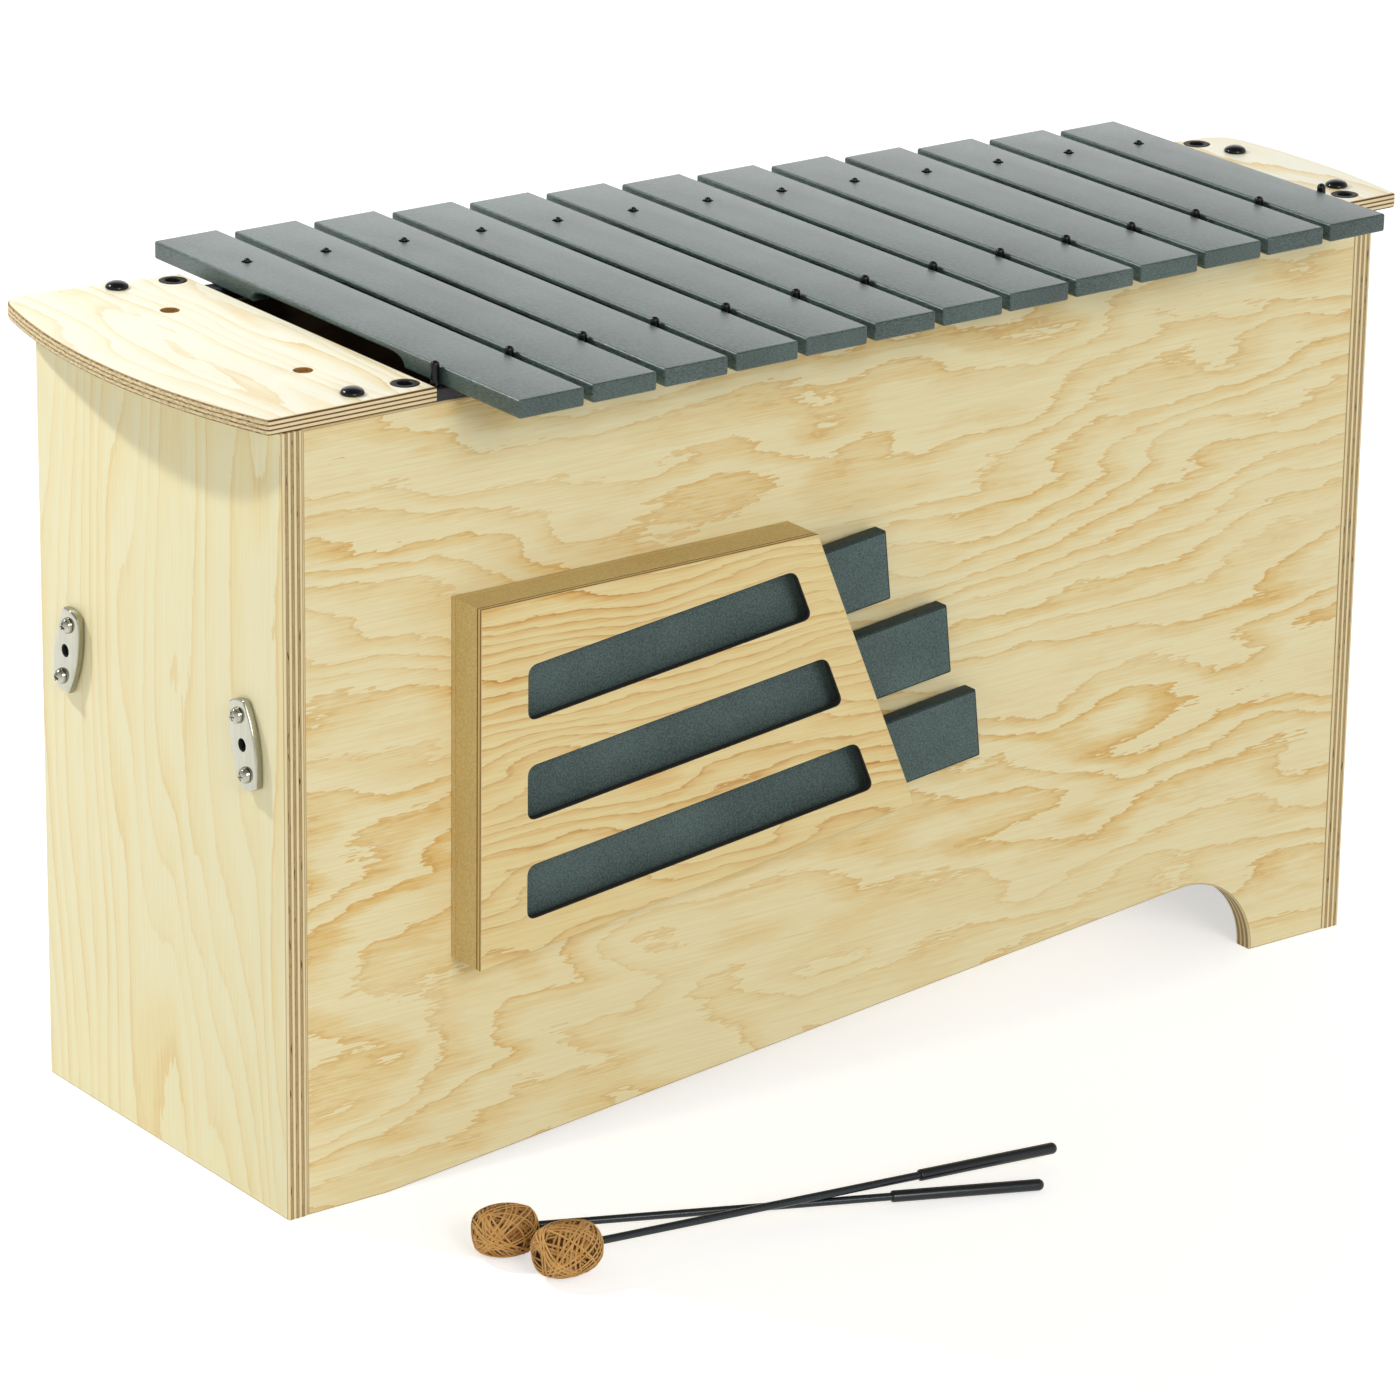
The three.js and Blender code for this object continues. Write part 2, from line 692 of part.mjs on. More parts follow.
// Least clear distance between two turns of the yarn, measured on points of its middle line
function leastYarnGap() {
  const stepsPerLoop = 3 * yarnStepsPerLoop;
  const line = yarnLine(stepsPerLoop);
  let least = Infinity;
  line.forEach((point, k) => {
    for (let other = k + stepsPerLoop / 2; other < line.length; other += 1) {
      least = Math.min(least, point.distanceTo(line[Math.floor(other)]));
    }
  });
  return least - yarnDiameter;
}
console.log(`mallet yarn: least gap between turns ${leastYarnGap().toFixed(2)} mm`);

// The core stays under the flats of the yarn's facets
function headCore() {
  const facetDrop = 1 - Math.cos(Math.PI / yarnStepsPerLoop);
  const bore = stickRadius + fitGap;
  const profile = Array.from({ length: coreRings + 1 }, (_, i) => {
    const s = barrelLength * (i / coreRings - 0.5);
    return [barrelAt(s) * (1 - facetDrop) - yarnRadius - 2 * fitGap, s];
  });
  const ends = barrelLength / 2;
  return turned([[bore, -ends], ...profile, [bore, ends], [bore, -ends]]);
}

function stick() {
  const from = stickRecess - headLength / 2;
  const to = malletReach - gripEndWall - fitGap;
  return turned([[0, from], [stickRadius, from], [stickRadius, to], [0, to]], pegSides);
}

function grip() {
  const from = malletReach - gripLength;
  const bore = stickRadius + fitGap;
  const boreEnd = malletReach - gripEndWall;
  return turned([[0, boreEnd], [bore, boreEnd], [bore, from], [gripRadius, from],
    ...domeProfile(gripRadius, malletReach - gripRadius, gripRadius)]);
}

// A mallet is drawn along its own x axis from the middle of its head, then turned and tilted
function addMallet(name, [x, y], heading, dropAngle) {
  const mallet = new THREE.Group();
  mallet.position.set(x, y, headRadius + fitGap);
  mallet.rotation.set(0, dropAngle, heading, "ZYX");
  instrument.add(mallet);
  add(`${name}_core`, headCore().rotateY(Math.PI / 2), paleCore, mallet);
  add(`${name}_yarn`, yarnTube(), tanYarn, mallet);
  add(`${name}_stick`, stick().rotateY(Math.PI / 2), darkStick, mallet);
  add(`${name}_grip`, grip().rotateY(Math.PI / 2), darkStick, mallet);
}

// The lower mallet rests on its head and grip, and the upper one on its head and the lower stick
const lowerTurn = THREE.MathUtils.degToRad(lowerHeading);
const upperTurn = THREE.MathUtils.degToRad(upperHeading);
const lowerDrop = Math.asin((headRadius - gripRadius) / malletReach);
const headsApart = new THREE.Vector2(...upperHeadPlace).sub(new THREE.Vector2(...lowerHeadPlace));
const lowerWay = new THREE.Vector2(Math.cos(lowerTurn), Math.sin(lowerTurn));
const upperWay = new THREE.Vector2(Math.cos(upperTurn), Math.sin(upperTurn));
const lowerToCrossing = headsApart.cross(upperWay) / lowerWay.cross(upperWay);
const upperToCrossing = headsApart.cross(lowerWay) / lowerWay.cross(upperWay);
const sticksApart = 2 * stickRadius + malletGap;
const upperDrop = Math.atan((lowerToCrossing * Math.tan(lowerDrop) - sticksApart) / upperToCrossing);
addMallet("lower_mallet", lowerHeadPlace, lowerTurn, lowerDrop);
addMallet("upper_mallet", upperHeadPlace, upperTurn, upperDrop);

// Origin at the middle of the bottom
const box = new THREE.Box3().setFromObject(instrument, true);
const middle = box.getCenter(new THREE.Vector3());
instrument.position.set(-middle.x, -middle.y, -box.min.z);

export default instrument;
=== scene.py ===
"""Looks of a bass metallophone: pine plywood box, grey coated bars, spare bars in a holder, two mallets.

Shapes are written in millimetres from the box's front left lower corner: x towards the high notes, y
towards the back, z up. They become metres in the part's frame when a mesh is made.
"""
import math
from functools import partial

import bmesh
import bpy
import numpy as np
from mathutils import Matrix, Vector
from mathutils.geometry import tessellate_polygon


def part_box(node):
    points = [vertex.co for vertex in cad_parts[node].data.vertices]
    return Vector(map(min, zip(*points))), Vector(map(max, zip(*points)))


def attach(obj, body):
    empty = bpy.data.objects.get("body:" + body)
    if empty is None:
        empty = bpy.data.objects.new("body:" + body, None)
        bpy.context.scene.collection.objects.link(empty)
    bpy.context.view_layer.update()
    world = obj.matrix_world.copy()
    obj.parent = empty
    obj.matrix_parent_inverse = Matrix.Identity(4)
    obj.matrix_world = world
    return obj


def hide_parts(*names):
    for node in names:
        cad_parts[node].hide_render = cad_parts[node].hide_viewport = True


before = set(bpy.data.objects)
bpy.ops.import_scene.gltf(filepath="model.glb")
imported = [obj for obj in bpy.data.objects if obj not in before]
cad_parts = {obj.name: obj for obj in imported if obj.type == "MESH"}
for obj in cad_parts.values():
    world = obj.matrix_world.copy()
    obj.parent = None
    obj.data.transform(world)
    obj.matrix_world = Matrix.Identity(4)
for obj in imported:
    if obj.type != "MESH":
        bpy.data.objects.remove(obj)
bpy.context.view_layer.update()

MM = 0.001
CORNER = np.array(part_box("left_end_panel")[0])
Z_AXES = np.eye(3)

# Box, in millimetres
PLY = 18
BOX_HEIGHT = 645
LEFT_DEPTH = 357
RIGHT_DEPTH = 197.5
LEFT_FOOT = 93
RIGHT_FOOT = 101
ARCH_SLOPE = 0.0923
WALL_EASE = 1.3
FLOOR_LIFT = 16
FLOOR_THICKNESS = 12
FLOOR_EASE = 0.5

# Gaps: between neighbours, and between the rod and its sleeve
FIT = 0.3
CLEAR = 0.1

# Bars and rails
BAR_COUNT = 13
BAR_EASE = 2
SCOOP_INSETS = (40, 13)
SCOOP_DEPTH = 9.5
SCOOP_END = 22
RAIL_WIDTH = 16
RAIL_EASE = 1
PEG_FOOT = 1
PEG_RADIUS = 3.6
PEG_RISE = 5.3
PIN_RADIUS = 2.8
PIN_RISE = 3.2
PIN_HOLE_RADIUS = 4.7
PIN_SETBACK = 4.5

# Top boards and their fittings; plug, bolt rim and bush are (radius, height) points from the axis
BOARD_THICKNESS = 12.5
BOARD_BACK_OVERHANG = 29
BOARD_BULGE_RADIUS = 660
BOARD_CORNER = 24
BOARD_FRONT_CORNER = 3
BOARD_EASE = 2
BOARD_HOLE_EASE = 0.4
LEFT_OVERHANG = 12
RIGHT_OVERHANG = 25
PLUG_RADIUS = 7.5
PLUG_INSET = 61
PLUG_PLACES = (92, 283)
PLUG = ((0, 0.3), (7.4, 0.3), (7.4, 9.5), (0, 9))
BOLT_RADIUS = 9.5
BOLT_RIM = ((0, 0.1), (8.7, 0.1), (9.5, 0.8))
BOLT_DOME_BASE = 0.88
BOLT_DOME_HEIGHT = 5.1
SOCKET_RADIUS = 11
SOCKET_BUSH = ((0, -12.5), (11, -12.5), (11, -0.3), (10.4, 0.3), (6.8, 0.3), (6, -0.5), (6, -9), (0, -9))

# Holder for the spare bars
HOLDER_LEFT = 153.6
HOLDER_BOTTOM = 188.3
HOLDER_TOP_LENGTH = 324
HOLDER_SLOPE = 0.111
HOLDER_LEAN = 0.417
HOLDER_BAND = 8.1
HOLDER_TOP_BAND = 27
HOLDER_LEFT_BAND = 21.4
HOLDER_RIB = 21.3
HOLDER_EASE = 0.3
FACE_EASE = 0.6
CHANNEL = 61.2
SLOT_HEIGHT = 43.7
SLOT_RISE = 11.4
SLOT_LEFT_MARGIN = 45
SLOT_RIGHT_MARGIN = 34
SLOT_CORNER = 8
SLOT_EASE = 0.8
SPARE_LENGTHS = (490, 457, 392)
SPARE_WIDTH = 60
SPARE_START = 1

# Plates on the end panels; the hole's dark bottom is a disc of painted shade, given by its points' radii
# and heights
PLATE_HEIGHT = 69
PLATE_END_WIDTH = 21
PLATE_BULGE = 13
PLATE_END_BULGE = 4
PLATE_THICKNESS = 7
PLATE_EASE = 1.6
PLATE_CENTRE_HEIGHT = 383.5
PLATE_INSET = 48.5
PLATE_LEAN = math.radians(13.5)
PLATE_HOLE = 5
PLATE_HOLE_EASE = 0.5
HOLE_BOTTOM = ((0, 0.2), (4.95, 0.2), (4.95, 1.2), (0, 0.9))
SCREW_SPACING = 47
SCREW_RADIUS = 6.6
SCREW_HEIGHT = 6.5
CROSS_REACH = 3.2
CROSS_WIDTH = 1.0
CROSS_DEPTH = 2.4
CROSS_SOFT_END = 0.6
CROSS_SOFT_SIDE = 0.4

# Mallets: each one's head as a share of the drawn size, and the seed of its winding
MALLETS = {"lower_mallet": (0.91, 5), "upper_mallet": (0.965, 11)}
HEAD_HALF_LENGTH = 29
HEAD_RADIUS = 23.5
HEAD_STRETCH = 38
HEAD_LIMIT = 29.5
CORE_OPENINGS = (0.32, 0.12)
CORE_RISE = 0.6
CORE_BORE = 3.4
CORE_INSET = 6
STICK_RADIUS = 3.2
STICK_RECESS = 7
STICK_CHAMFER = 0.5
STICK_INSET = 8
GRIP_RADIUS = 4.8
GRIP_LENGTH = 128
GRIP_EDGE = 1.5
MALLET_REACH = 444.5

# Yarn: its thickness, the level first rounds and the bands over them. Tilts are degrees and turns radians,
# BAND_SHIFT is a share of the head's radius, and spacings and ROUND_SHIFT are strands
YARN = 2.2
YARN_PILE = 2.4
FIRST_ROUNDS = 19
FIRST_SPACING = 0.98
YARN_BANDS = 40
BAND_TILTS = (25, 75)
BAND_ROUNDS = (1, 4)
BAND_SPACING = 1.35
BAND_SHIFT = 0.5
BAND_TURN = 2.4
BAND_TURN_SPREAD = 0.4
ROUND_SHIFT = 0.25
ROUND_LIFT = 0.2
STICK_CLEAR = math.radians(9)

# Camera, fitted to the straight edges of the box
LENS = 171.65
SENSOR = 36
CAMERA_AZIMUTH = math.radians(-36.639)
CAMERA_ELEVATION = math.radians(20.087)
CAMERA_ROLL = math.radians(0.8227)
CAMERA_DISTANCE = 5.5482
CAMERA_TARGET = (524.35, 176.0, 272.21)

# Light: how far the floor reaches, in metres, what it gives itself to show white, and the room's
# strength, which falls from CEILING_START upwards to the ceiling's share of it
FLOOR_REACH = 30.0
FLOOR_GLOW = 0.57
ROOM_LIGHT = 0.66
CEILING_START = 0.25
CEILING_LIGHT = 0.2

# Lamps: kind, power, breadth (metres across, or the angle it fills) and the way to it from the left end
AIM_HEIGHT = 500
LAMP_DISTANCE = 3.0
LAMPS = {"lamp_behind_left": ("AREA", 55, 0.16, (-1, 1.66, 1.95)),
         "fill_front": ("SUN", 1.0, math.radians(25), (-0.15, -0.9, 0.45)),
         "glow_behind_right": ("SUN", 0.55, math.radians(50), (0.56, 0.753, 0.42))}

# Fine patterns: a veneer's change through its thickness per metre, a speckle's clouds in grains, polishing
# marks along x, y and z, a turn of the yarn's twist and a run of one shade in millimetres
VENEER_CHANGE = 6
CLOUD_GRAINS = 40
POLISH_MARK = (2, 2, 20)
YARN_TWIST = 5
YARN_SHADE = 6

# Fineness of round shapes
EASE_STEPS = 4
SLEEVE_STEPS = 5
CORNER_STEPS = 6
DOME_STEPS = 10
CURVE_STEPS = 12
ARC_STEPS = 40
CORE_STEPS = 40
TURN_SIDES = 32
THIN_SIDES = 24
PEG_SIDES = 20
STRAND_SIDES = 6
STRAND_POINTS = 80
SCREW_STEPS = 30
SCREW_SIDES = 64
FLAT_LENGTH = 12
CREASE = math.radians(38)

box_length = (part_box("right_end_panel")[1][0] - CORNER[0]) / MM
wall_slope = (LEFT_DEPTH - RIGHT_DEPTH) / box_length
ply_along_y = PLY * math.hypot(1, wall_slope)
slant = math.atan(HOLDER_SLOPE)


def back_face(x):
    """Back of the box at x: a straight wall, slanted in plan."""
    return LEFT_DEPTH - wall_slope * np.asarray(x, float)


def wall_middle(side, x):
    """Middle of the front or back panel's thickness at x."""
    return PLY / 2 + 0 * x if side == "front" else back_face(x) - ply_along_y / 2


def box_mm(name):
    """Lowest and highest corner of a node, in millimetres from the box's corner."""
    low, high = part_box(name)
    return (np.array(low) - CORNER) / MM, (np.array(high) - CORNER) / MM


# Surfaces


def curve(start, control, end, steps=CURVE_STEPS):
    """Quadratic curve (1-t)^2 start + 2t(1-t) control + t^2 end."""
    t = np.linspace(0, 1, steps + 1)[:, None]
    start, control, end = (np.asarray(p, float) for p in (start, control, end))
    return (1 - t) ** 2 * start + 2 * t * (1 - t) * control + t**2 * end


def arc(centre, radius, first, last, steps=ARC_STEPS):
    """Points centre + radius (cos a, sin a), the angle a going from first to last."""
    angles = np.linspace(first, last, steps + 1)
    return np.asarray(centre) + radius * np.c_[np.cos(angles), np.sin(angles)]


def circle(centre, radius, sides=TURN_SIDES):
    """Closed ring of points at one radius."""
    return arc(centre, radius, 0, 2 * math.pi, sides)[:-1]


def dome(radius, base, height):
    """Quarter ellipse (radius cos a, base + height sin a) from the rim up to the axis."""
    angles = np.linspace(0, math.pi / 2, DOME_STEPS + 1)
    return np.c_[radius * np.cos(angles), base + height * np.sin(angles)]


def rounded(corners, reach):
    """Polygon whose corners are curves that begin and end one reach from each corner."""
    corners = np.asarray(corners, float)
    before = np.roll(corners, 1, axis=0) - corners
    after = np.roll(corners, -1, axis=0) - corners
    starts = corners + reach * before / np.linalg.norm(before, axis=1, keepdims=True)
    ends = corners + reach * after / np.linalg.norm(after, axis=1, keepdims=True)
    return np.vstack([curve(*three, CORNER_STEPS) for three in zip(starts, corners, ends)])


def turned_loop(loop, anticlockwise):
    """The loop in the wanted sense of turning, by the sign of its area."""
    loop = np.asarray(loop, float)
    after = np.roll(loop, -1, axis=0)
    area = np.sum(loop[:, 0] * after[:, 1] - after[:, 0] * loop[:, 1])
    return loop if (area > 0) == anticlockwise else loop[::-1]


def outward(loop):
    """Mitred outward step at each corner: (n1 + n2) / (1 + n1.n2) for its two edges' normals."""
    edge = np.roll(loop, -1, axis=0) - loop
    edge = edge / np.linalg.norm(edge, axis=1, keepdims=True)
    after = np.c_[edge[:, 1], -edge[:, 0]]
    before = np.roll(after, 1, axis=0)
    return (before + after) / (1 + np.sum(before * after, axis=1, keepdims=True))


def ring_faces(rows, columns):
    """Corners of the quads between rings of points that are numbered ring by ring."""
    row, column = np.meshgrid(np.arange(rows - 1), np.arange(columns), indexing="ij")
    right = (column + 1) % columns
    quads = np.stack([row * columns + column, row * columns + right,
                      (row + 1) * columns + right, (row + 1) * columns + column], axis=-1)
    return quads.reshape(-1, 4)


def sheet(loops, place, thickness, eases):
    """Flat piece with eased rims.

    Each loop is stepped inwards by e(1 - sin a) while its depth runs through e(1 - cos a), a quarter
    circle at either face, and the two flat faces are filled between the innermost rings. The first loop
    is the outline and the others are holes. place turns (u, v, depth) into box millimetres. Materials are
    numbered 0 for the first face, 1 for the outer rim, 2 for the second face and 3 for the rims of holes.
    """
    angles = np.linspace(0, math.pi / 2, EASE_STEPS + 1)
    patches, rims, first = [], [], 0
    for i, (loop, ease) in enumerate(zip(loops, eases)):
        loop = turned_loop(loop, i == 0)
        inset = ease * (1 - np.sin(angles))
        depth = ease * (1 - np.cos(angles))
        inset = np.r_[inset, inset[::-1]][:, None, None]
        depth = np.r_[depth, thickness - depth[::-1]][:, None]
        flat = loop - inset * outward(loop)
        rings, count = flat.shape[:2]
        points = place(flat[..., 0], flat[..., 1], np.broadcast_to(depth, (rings, count)))
        run = np.r_[0, np.cumsum(np.linalg.norm(np.roll(loop, -1, axis=0) - loop, axis=1))]
        along = np.stack([run[:-1], run[1:], run[1:], run[:-1]], axis=-1)
        down = np.stack([depth[:-1, 0], depth[:-1, 0], depth[1:, 0], depth[1:, 0]], axis=-1)
        uv = np.stack(np.broadcast_arrays(along[None], down[:, None]), axis=-1).reshape(-1, 4, 2)
        smooth = np.ones((rings - 1, count), bool)
        smooth[EASE_STEPS] = np.diff(run) < FLAT_LENGTH
        patches.append({"points": np.stack(points, axis=-1).reshape(-1, 3), "uv": uv * MM,
                        "faces": ring_faces(rings, count), "material": 3 if i else 1,
                        "smooth": smooth.ravel()})
        rims.append((first, rings, count, flat[0]))
        first += rings * count
    fill = np.array(tessellate_polygon([[Vector((*p, 0)) for p in rim[3]] for rim in rims]))
    for last_ring in (False, True):
        numbers = np.concatenate([start + (rings - 1) * count * last_ring + np.arange(count)
                                  for start, rings, count, _ in rims])
        patches.append({"points": np.empty((0, 3)), "faces": numbers[fill], "material": 2 * last_ring,
                        "smooth": False, "own": False})
    return patches


def turned(profile, spots, axes, sides=TURN_SIDES, material=0):
    """Surface of revolution spot + r cos a A + r sin a B + h C at each spot, for a profile of (r, h)."""
    profile = np.asarray(profile, float)
    angles = np.linspace(0, 2 * math.pi, sides, endpoint=False)
    a, b, c = (np.asarray(axis, float) for axis in axes)
    ring = np.cos(angles)[:, None] * a + np.sin(angles)[:, None] * b
    one = (profile[:, 0, None, None] * ring + profile[:, 1, None, None] * c).reshape(-1, 3)
    faces = ring_faces(len(profile), sides)
    return [{"points": np.asarray(spot) + one, "faces": faces, "material": material, "smooth": True}
            for spot in spots]


def tubes(lines, normals, layers, radius):
    """Closed tubes: round every point of each closed line stands a ring radius (cos a N + sin a T x N).

    The map holds the share of the turn plus the strand's layer, and the length run."""
    sides = STRAND_SIDES
    ahead = np.roll(lines, -1, axis=1) - np.roll(lines, 1, axis=1)
    ahead = ahead / np.linalg.norm(ahead, axis=2, keepdims=True)
    side = np.cross(ahead, normals)
    side = side / np.linalg.norm(side, axis=2, keepdims=True)
    up = np.cross(side, ahead)
    angles = np.linspace(0, 2 * math.pi, sides, endpoint=False)[:, None]
    ring = np.cos(angles) * up[:, :, None] + np.sin(angles) * side[:, :, None]
    points = lines[:, :, None] + radius * ring
    strands, steps = lines.shape[:2]
    quads = ring_faces(steps + 1, sides) % (steps * sides)
    faces = (np.arange(strands)[:, None, None] * steps * sides + quads).reshape(-1, 4)
    lengths = np.linalg.norm(np.roll(lines, -1, axis=1) - lines, axis=2)
    run = np.c_[np.zeros(strands), np.cumsum(lengths, axis=1)]
    shape = (strands, steps, sides, 4)
    now = np.arange(sides)
    turn = np.stack([now, now + 1, now + 1, now], axis=-1) / sides
    along = np.stack([run[:, :-1], run[:, :-1], run[:, 1:], run[:, 1:]], axis=-1)
    uv = np.stack([np.broadcast_to(turn + layers[:, None, None, None], shape),
                   np.broadcast_to(along[:, :, None] * MM, shape)], axis=-1)
    return [{"points": points.reshape(-1, 3), "faces": faces, "material": 0, "smooth": True,
             "uv": uv.reshape(-1, 4, 2)}]


def put(name, data):
    """New object in the scene."""
    made = bpy.data.objects.new(name, data)
    bpy.context.scene.collection.objects.link(made)
    return made


def piece(name, patches, materials, body, nodes=(), crease=CREASE):
    """One object from patches: joined, doubled points merged, faces turned outwards, riding on its body.

    With fewer materials than its patches number, faces take the first and rims the second."""
    points, faces, material, smooth, corners_uv, start = [], [], [], [], [], 0
    for patch in patches:
        points.append(patch["points"])
        faces += (patch["faces"] + (start if patch.get("own", True) else 0)).tolist()
        start += len(patch["points"])
        count, width = patch["faces"].shape
        number = patch["material"]
        if number >= len(materials):
            number = min(number % 2, len(materials) - 1)
        material += [number] * count
        smooth += np.broadcast_to(patch["smooth"], count).tolist()
        corners_uv.append(patch.get("uv", np.zeros((count, width, 2))).reshape(-1, 2))
    mesh = bpy.data.meshes.new(name)
    mesh.from_pydata((CORNER + np.concatenate(points) * MM).tolist(), [], faces)
    mesh.polygons.foreach_set("material_index", material)
    mesh.polygons.foreach_set("use_smooth", smooth)
    uv = np.concatenate(corners_uv).astype(np.float32).ravel()
    mesh.uv_layers.new(name="rim").data.foreach_set("uv", uv)
    for one in materials:
        mesh.materials.append(one)
    work = bmesh.new()
    work.from_mesh(mesh)
    bmesh.ops.remove_doubles(work, verts=work.verts, dist=1e-7)
    bmesh.ops.recalc_face_normals(work, faces=work.faces)
    work.to_mesh(mesh)
    work.free()
    mesh.set_sharp_from_angle(angle=crease)
    made = put(name, mesh)
    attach(made, body)
    if nodes:
        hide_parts(*nodes)
    return made


# Materials


def colour(code):
    """Linear colour of an sRGB hex code."""
    parts = np.array([int(code[i:i + 2], 16) for i in (1, 3, 5)]) / 255
    linear = np.where(parts <= 0.04045, parts / 12.92, ((parts + 0.055) / 1.055) ** 2.4)
    return (*linear.tolist(), 1.0)


def feed(made, inputs):
    """Gives a node's sockets a value, a hex code, an output, or a node for its first open output.

    A Mix of colours has its share at number 0 and its colours at 6 and 7."""
    for key, value in inputs.items():
        if isinstance(value, bpy.types.Node):
            value = next(output for output in value.outputs if output.enabled)
        if isinstance(value, bpy.types.NodeSocket):
            made.id_data.links.new(value, made.inputs[key])
        else:
            made.inputs[key].default_value = colour(value) if isinstance(value, str) else value


def node(tree, kind, inputs=None, **settings):
    """Adds a node with its settings and inputs."""
    made = tree.nodes.new("ShaderNode" + kind)
    for key, value in settings.items():
        setattr(made, key, value)
    feed(made, inputs or {})
    return made


def new_material(name):
    """New material, its shader, and the function that adds nodes to it."""
    made = bpy.data.materials.new(name)
    made.use_nodes = True
    made.node_tree.nodes.clear()
    add = partial(node, made.node_tree)
    shader = add("BsdfPrincipled")
    add("OutputMaterial", {"Surface": shader})
    return made, shader, add


def pine_veneer(name, along, pale, tan, line, ring_gap, swirl, swirl_size, jag, strength=1.0):
    """Lacquered pine veneer. The knife meets each growth ring at a slant, so a ring shows as a band that
    darkens slowly and ends in a ragged golden line. Bands crowd where the cut is steep to the rings, and
    widen or close into eyes where it runs level with them. Sizes are millimetres, first along and then
    across the grain."""
    made, shader, add = new_material(name)
    parts = add("SeparateXYZ", {0: add("TexCoord").outputs["Object"]})
    order = {"x": "XZY", "y": "YXZ", "z": "ZYX"}[along]
    grain = add("CombineXYZ", {i: parts.outputs[axis] for i, axis in enumerate(order)})
    # Each pattern's length, width, detail and roughness
    patterns = {"swirls": (*swirl_size, 1.2, 0.4), "drift": (800, 260, 0, 0.5),
                "scallops": (26, 6, 2, 0.55), "splinters": (22, 1.5, 1, 0.5),
                "patches": (260, 80, 1, 0.5), "fibres": (70, 1.6, 2, 0.5)}
    drawn = {}
    for what, (length, width, detail, rough) in patterns.items():
        scale = (1 / (length * MM), 1 / (width * MM), VENEER_CHANGE)
        stretched = add("Mapping", {"Vector": grain, "Scale": scale})
        noise = {"Vector": stretched, "Scale": 1, "Detail": detail, "Roughness": rough}
        drawn[what] = add("TexNoise", noise)
    age = add("Math", {0: parts.outputs[order[1]], 1: 1 / (ring_gap * MM)}, operation="MULTIPLY")
    shifts = {"swirls": swirl, "drift": 3 * swirl, "scallops": jag, "splinters": 0.5 * jag}
    for what, amount in shifts.items():
        age = add("Math", {0: drawn[what], 1: amount, 2: age}, operation="MULTIPLY_ADD")
    ring = add("Math", {0: age}, operation="FRACT")
    year = add("Math", {0: age}, operation="FLOOR")
    chance = add("TexWhiteNoise", {"W": year}, noise_dimensions="1D")
    # What each share reads, where it starts and stops rising, and its least and most
    shares = {"vigour": (chance, 0, 1, 0.45 * strength, strength),
              "fading": (drawn["patches"], 0.36, 0.6, 0.45, 1),
              "feather": (drawn["fibres"], 0.3, 0.7, 0.6, 1.1),
              "fibre": (drawn["fibres"], 0.3, 0.8, 0, 0.36),
              "late_wood": (ring, 0.3, 0.8, 0, 1), "ring_edge": (ring, 0.8, 0.97, 0, 1)}
    for what, (value, low, high, least, most) in shares.items():
        span = {"Value": value, "From Min": low, "From Max": high, "To Min": least, "To Max": most}
        drawn[what] = add("MapRange", span, interpolation_type="SMOOTHSTEP" if value is ring else "LINEAR")
    weight = drawn["vigour"]
    for what in ("fading", "feather"):
        weight = add("Math", {0: weight, 1: drawn[what]}, operation="MULTIPLY")
    for what in ("late_wood", "ring_edge"):
        drawn[what] = add("Math", {0: drawn[what], 1: weight}, operation="MULTIPLY")
    seen = pale
    for what, toned in (("fibre", tan), ("late_wood", tan), ("ring_edge", line)):
        seen = add("Mix", {0: drawn[what], 6: seen, 7: toned}, data_type="RGBA")
    relief = add("Bump", {"Strength": 0.12, "Distance": 0.2 * MM, "Height": drawn["fibres"]})
    feed(shader, {"Base Color": seen, "Normal": relief, "Roughness": 0.45, "Specular IOR Level": 0.35})
    return made


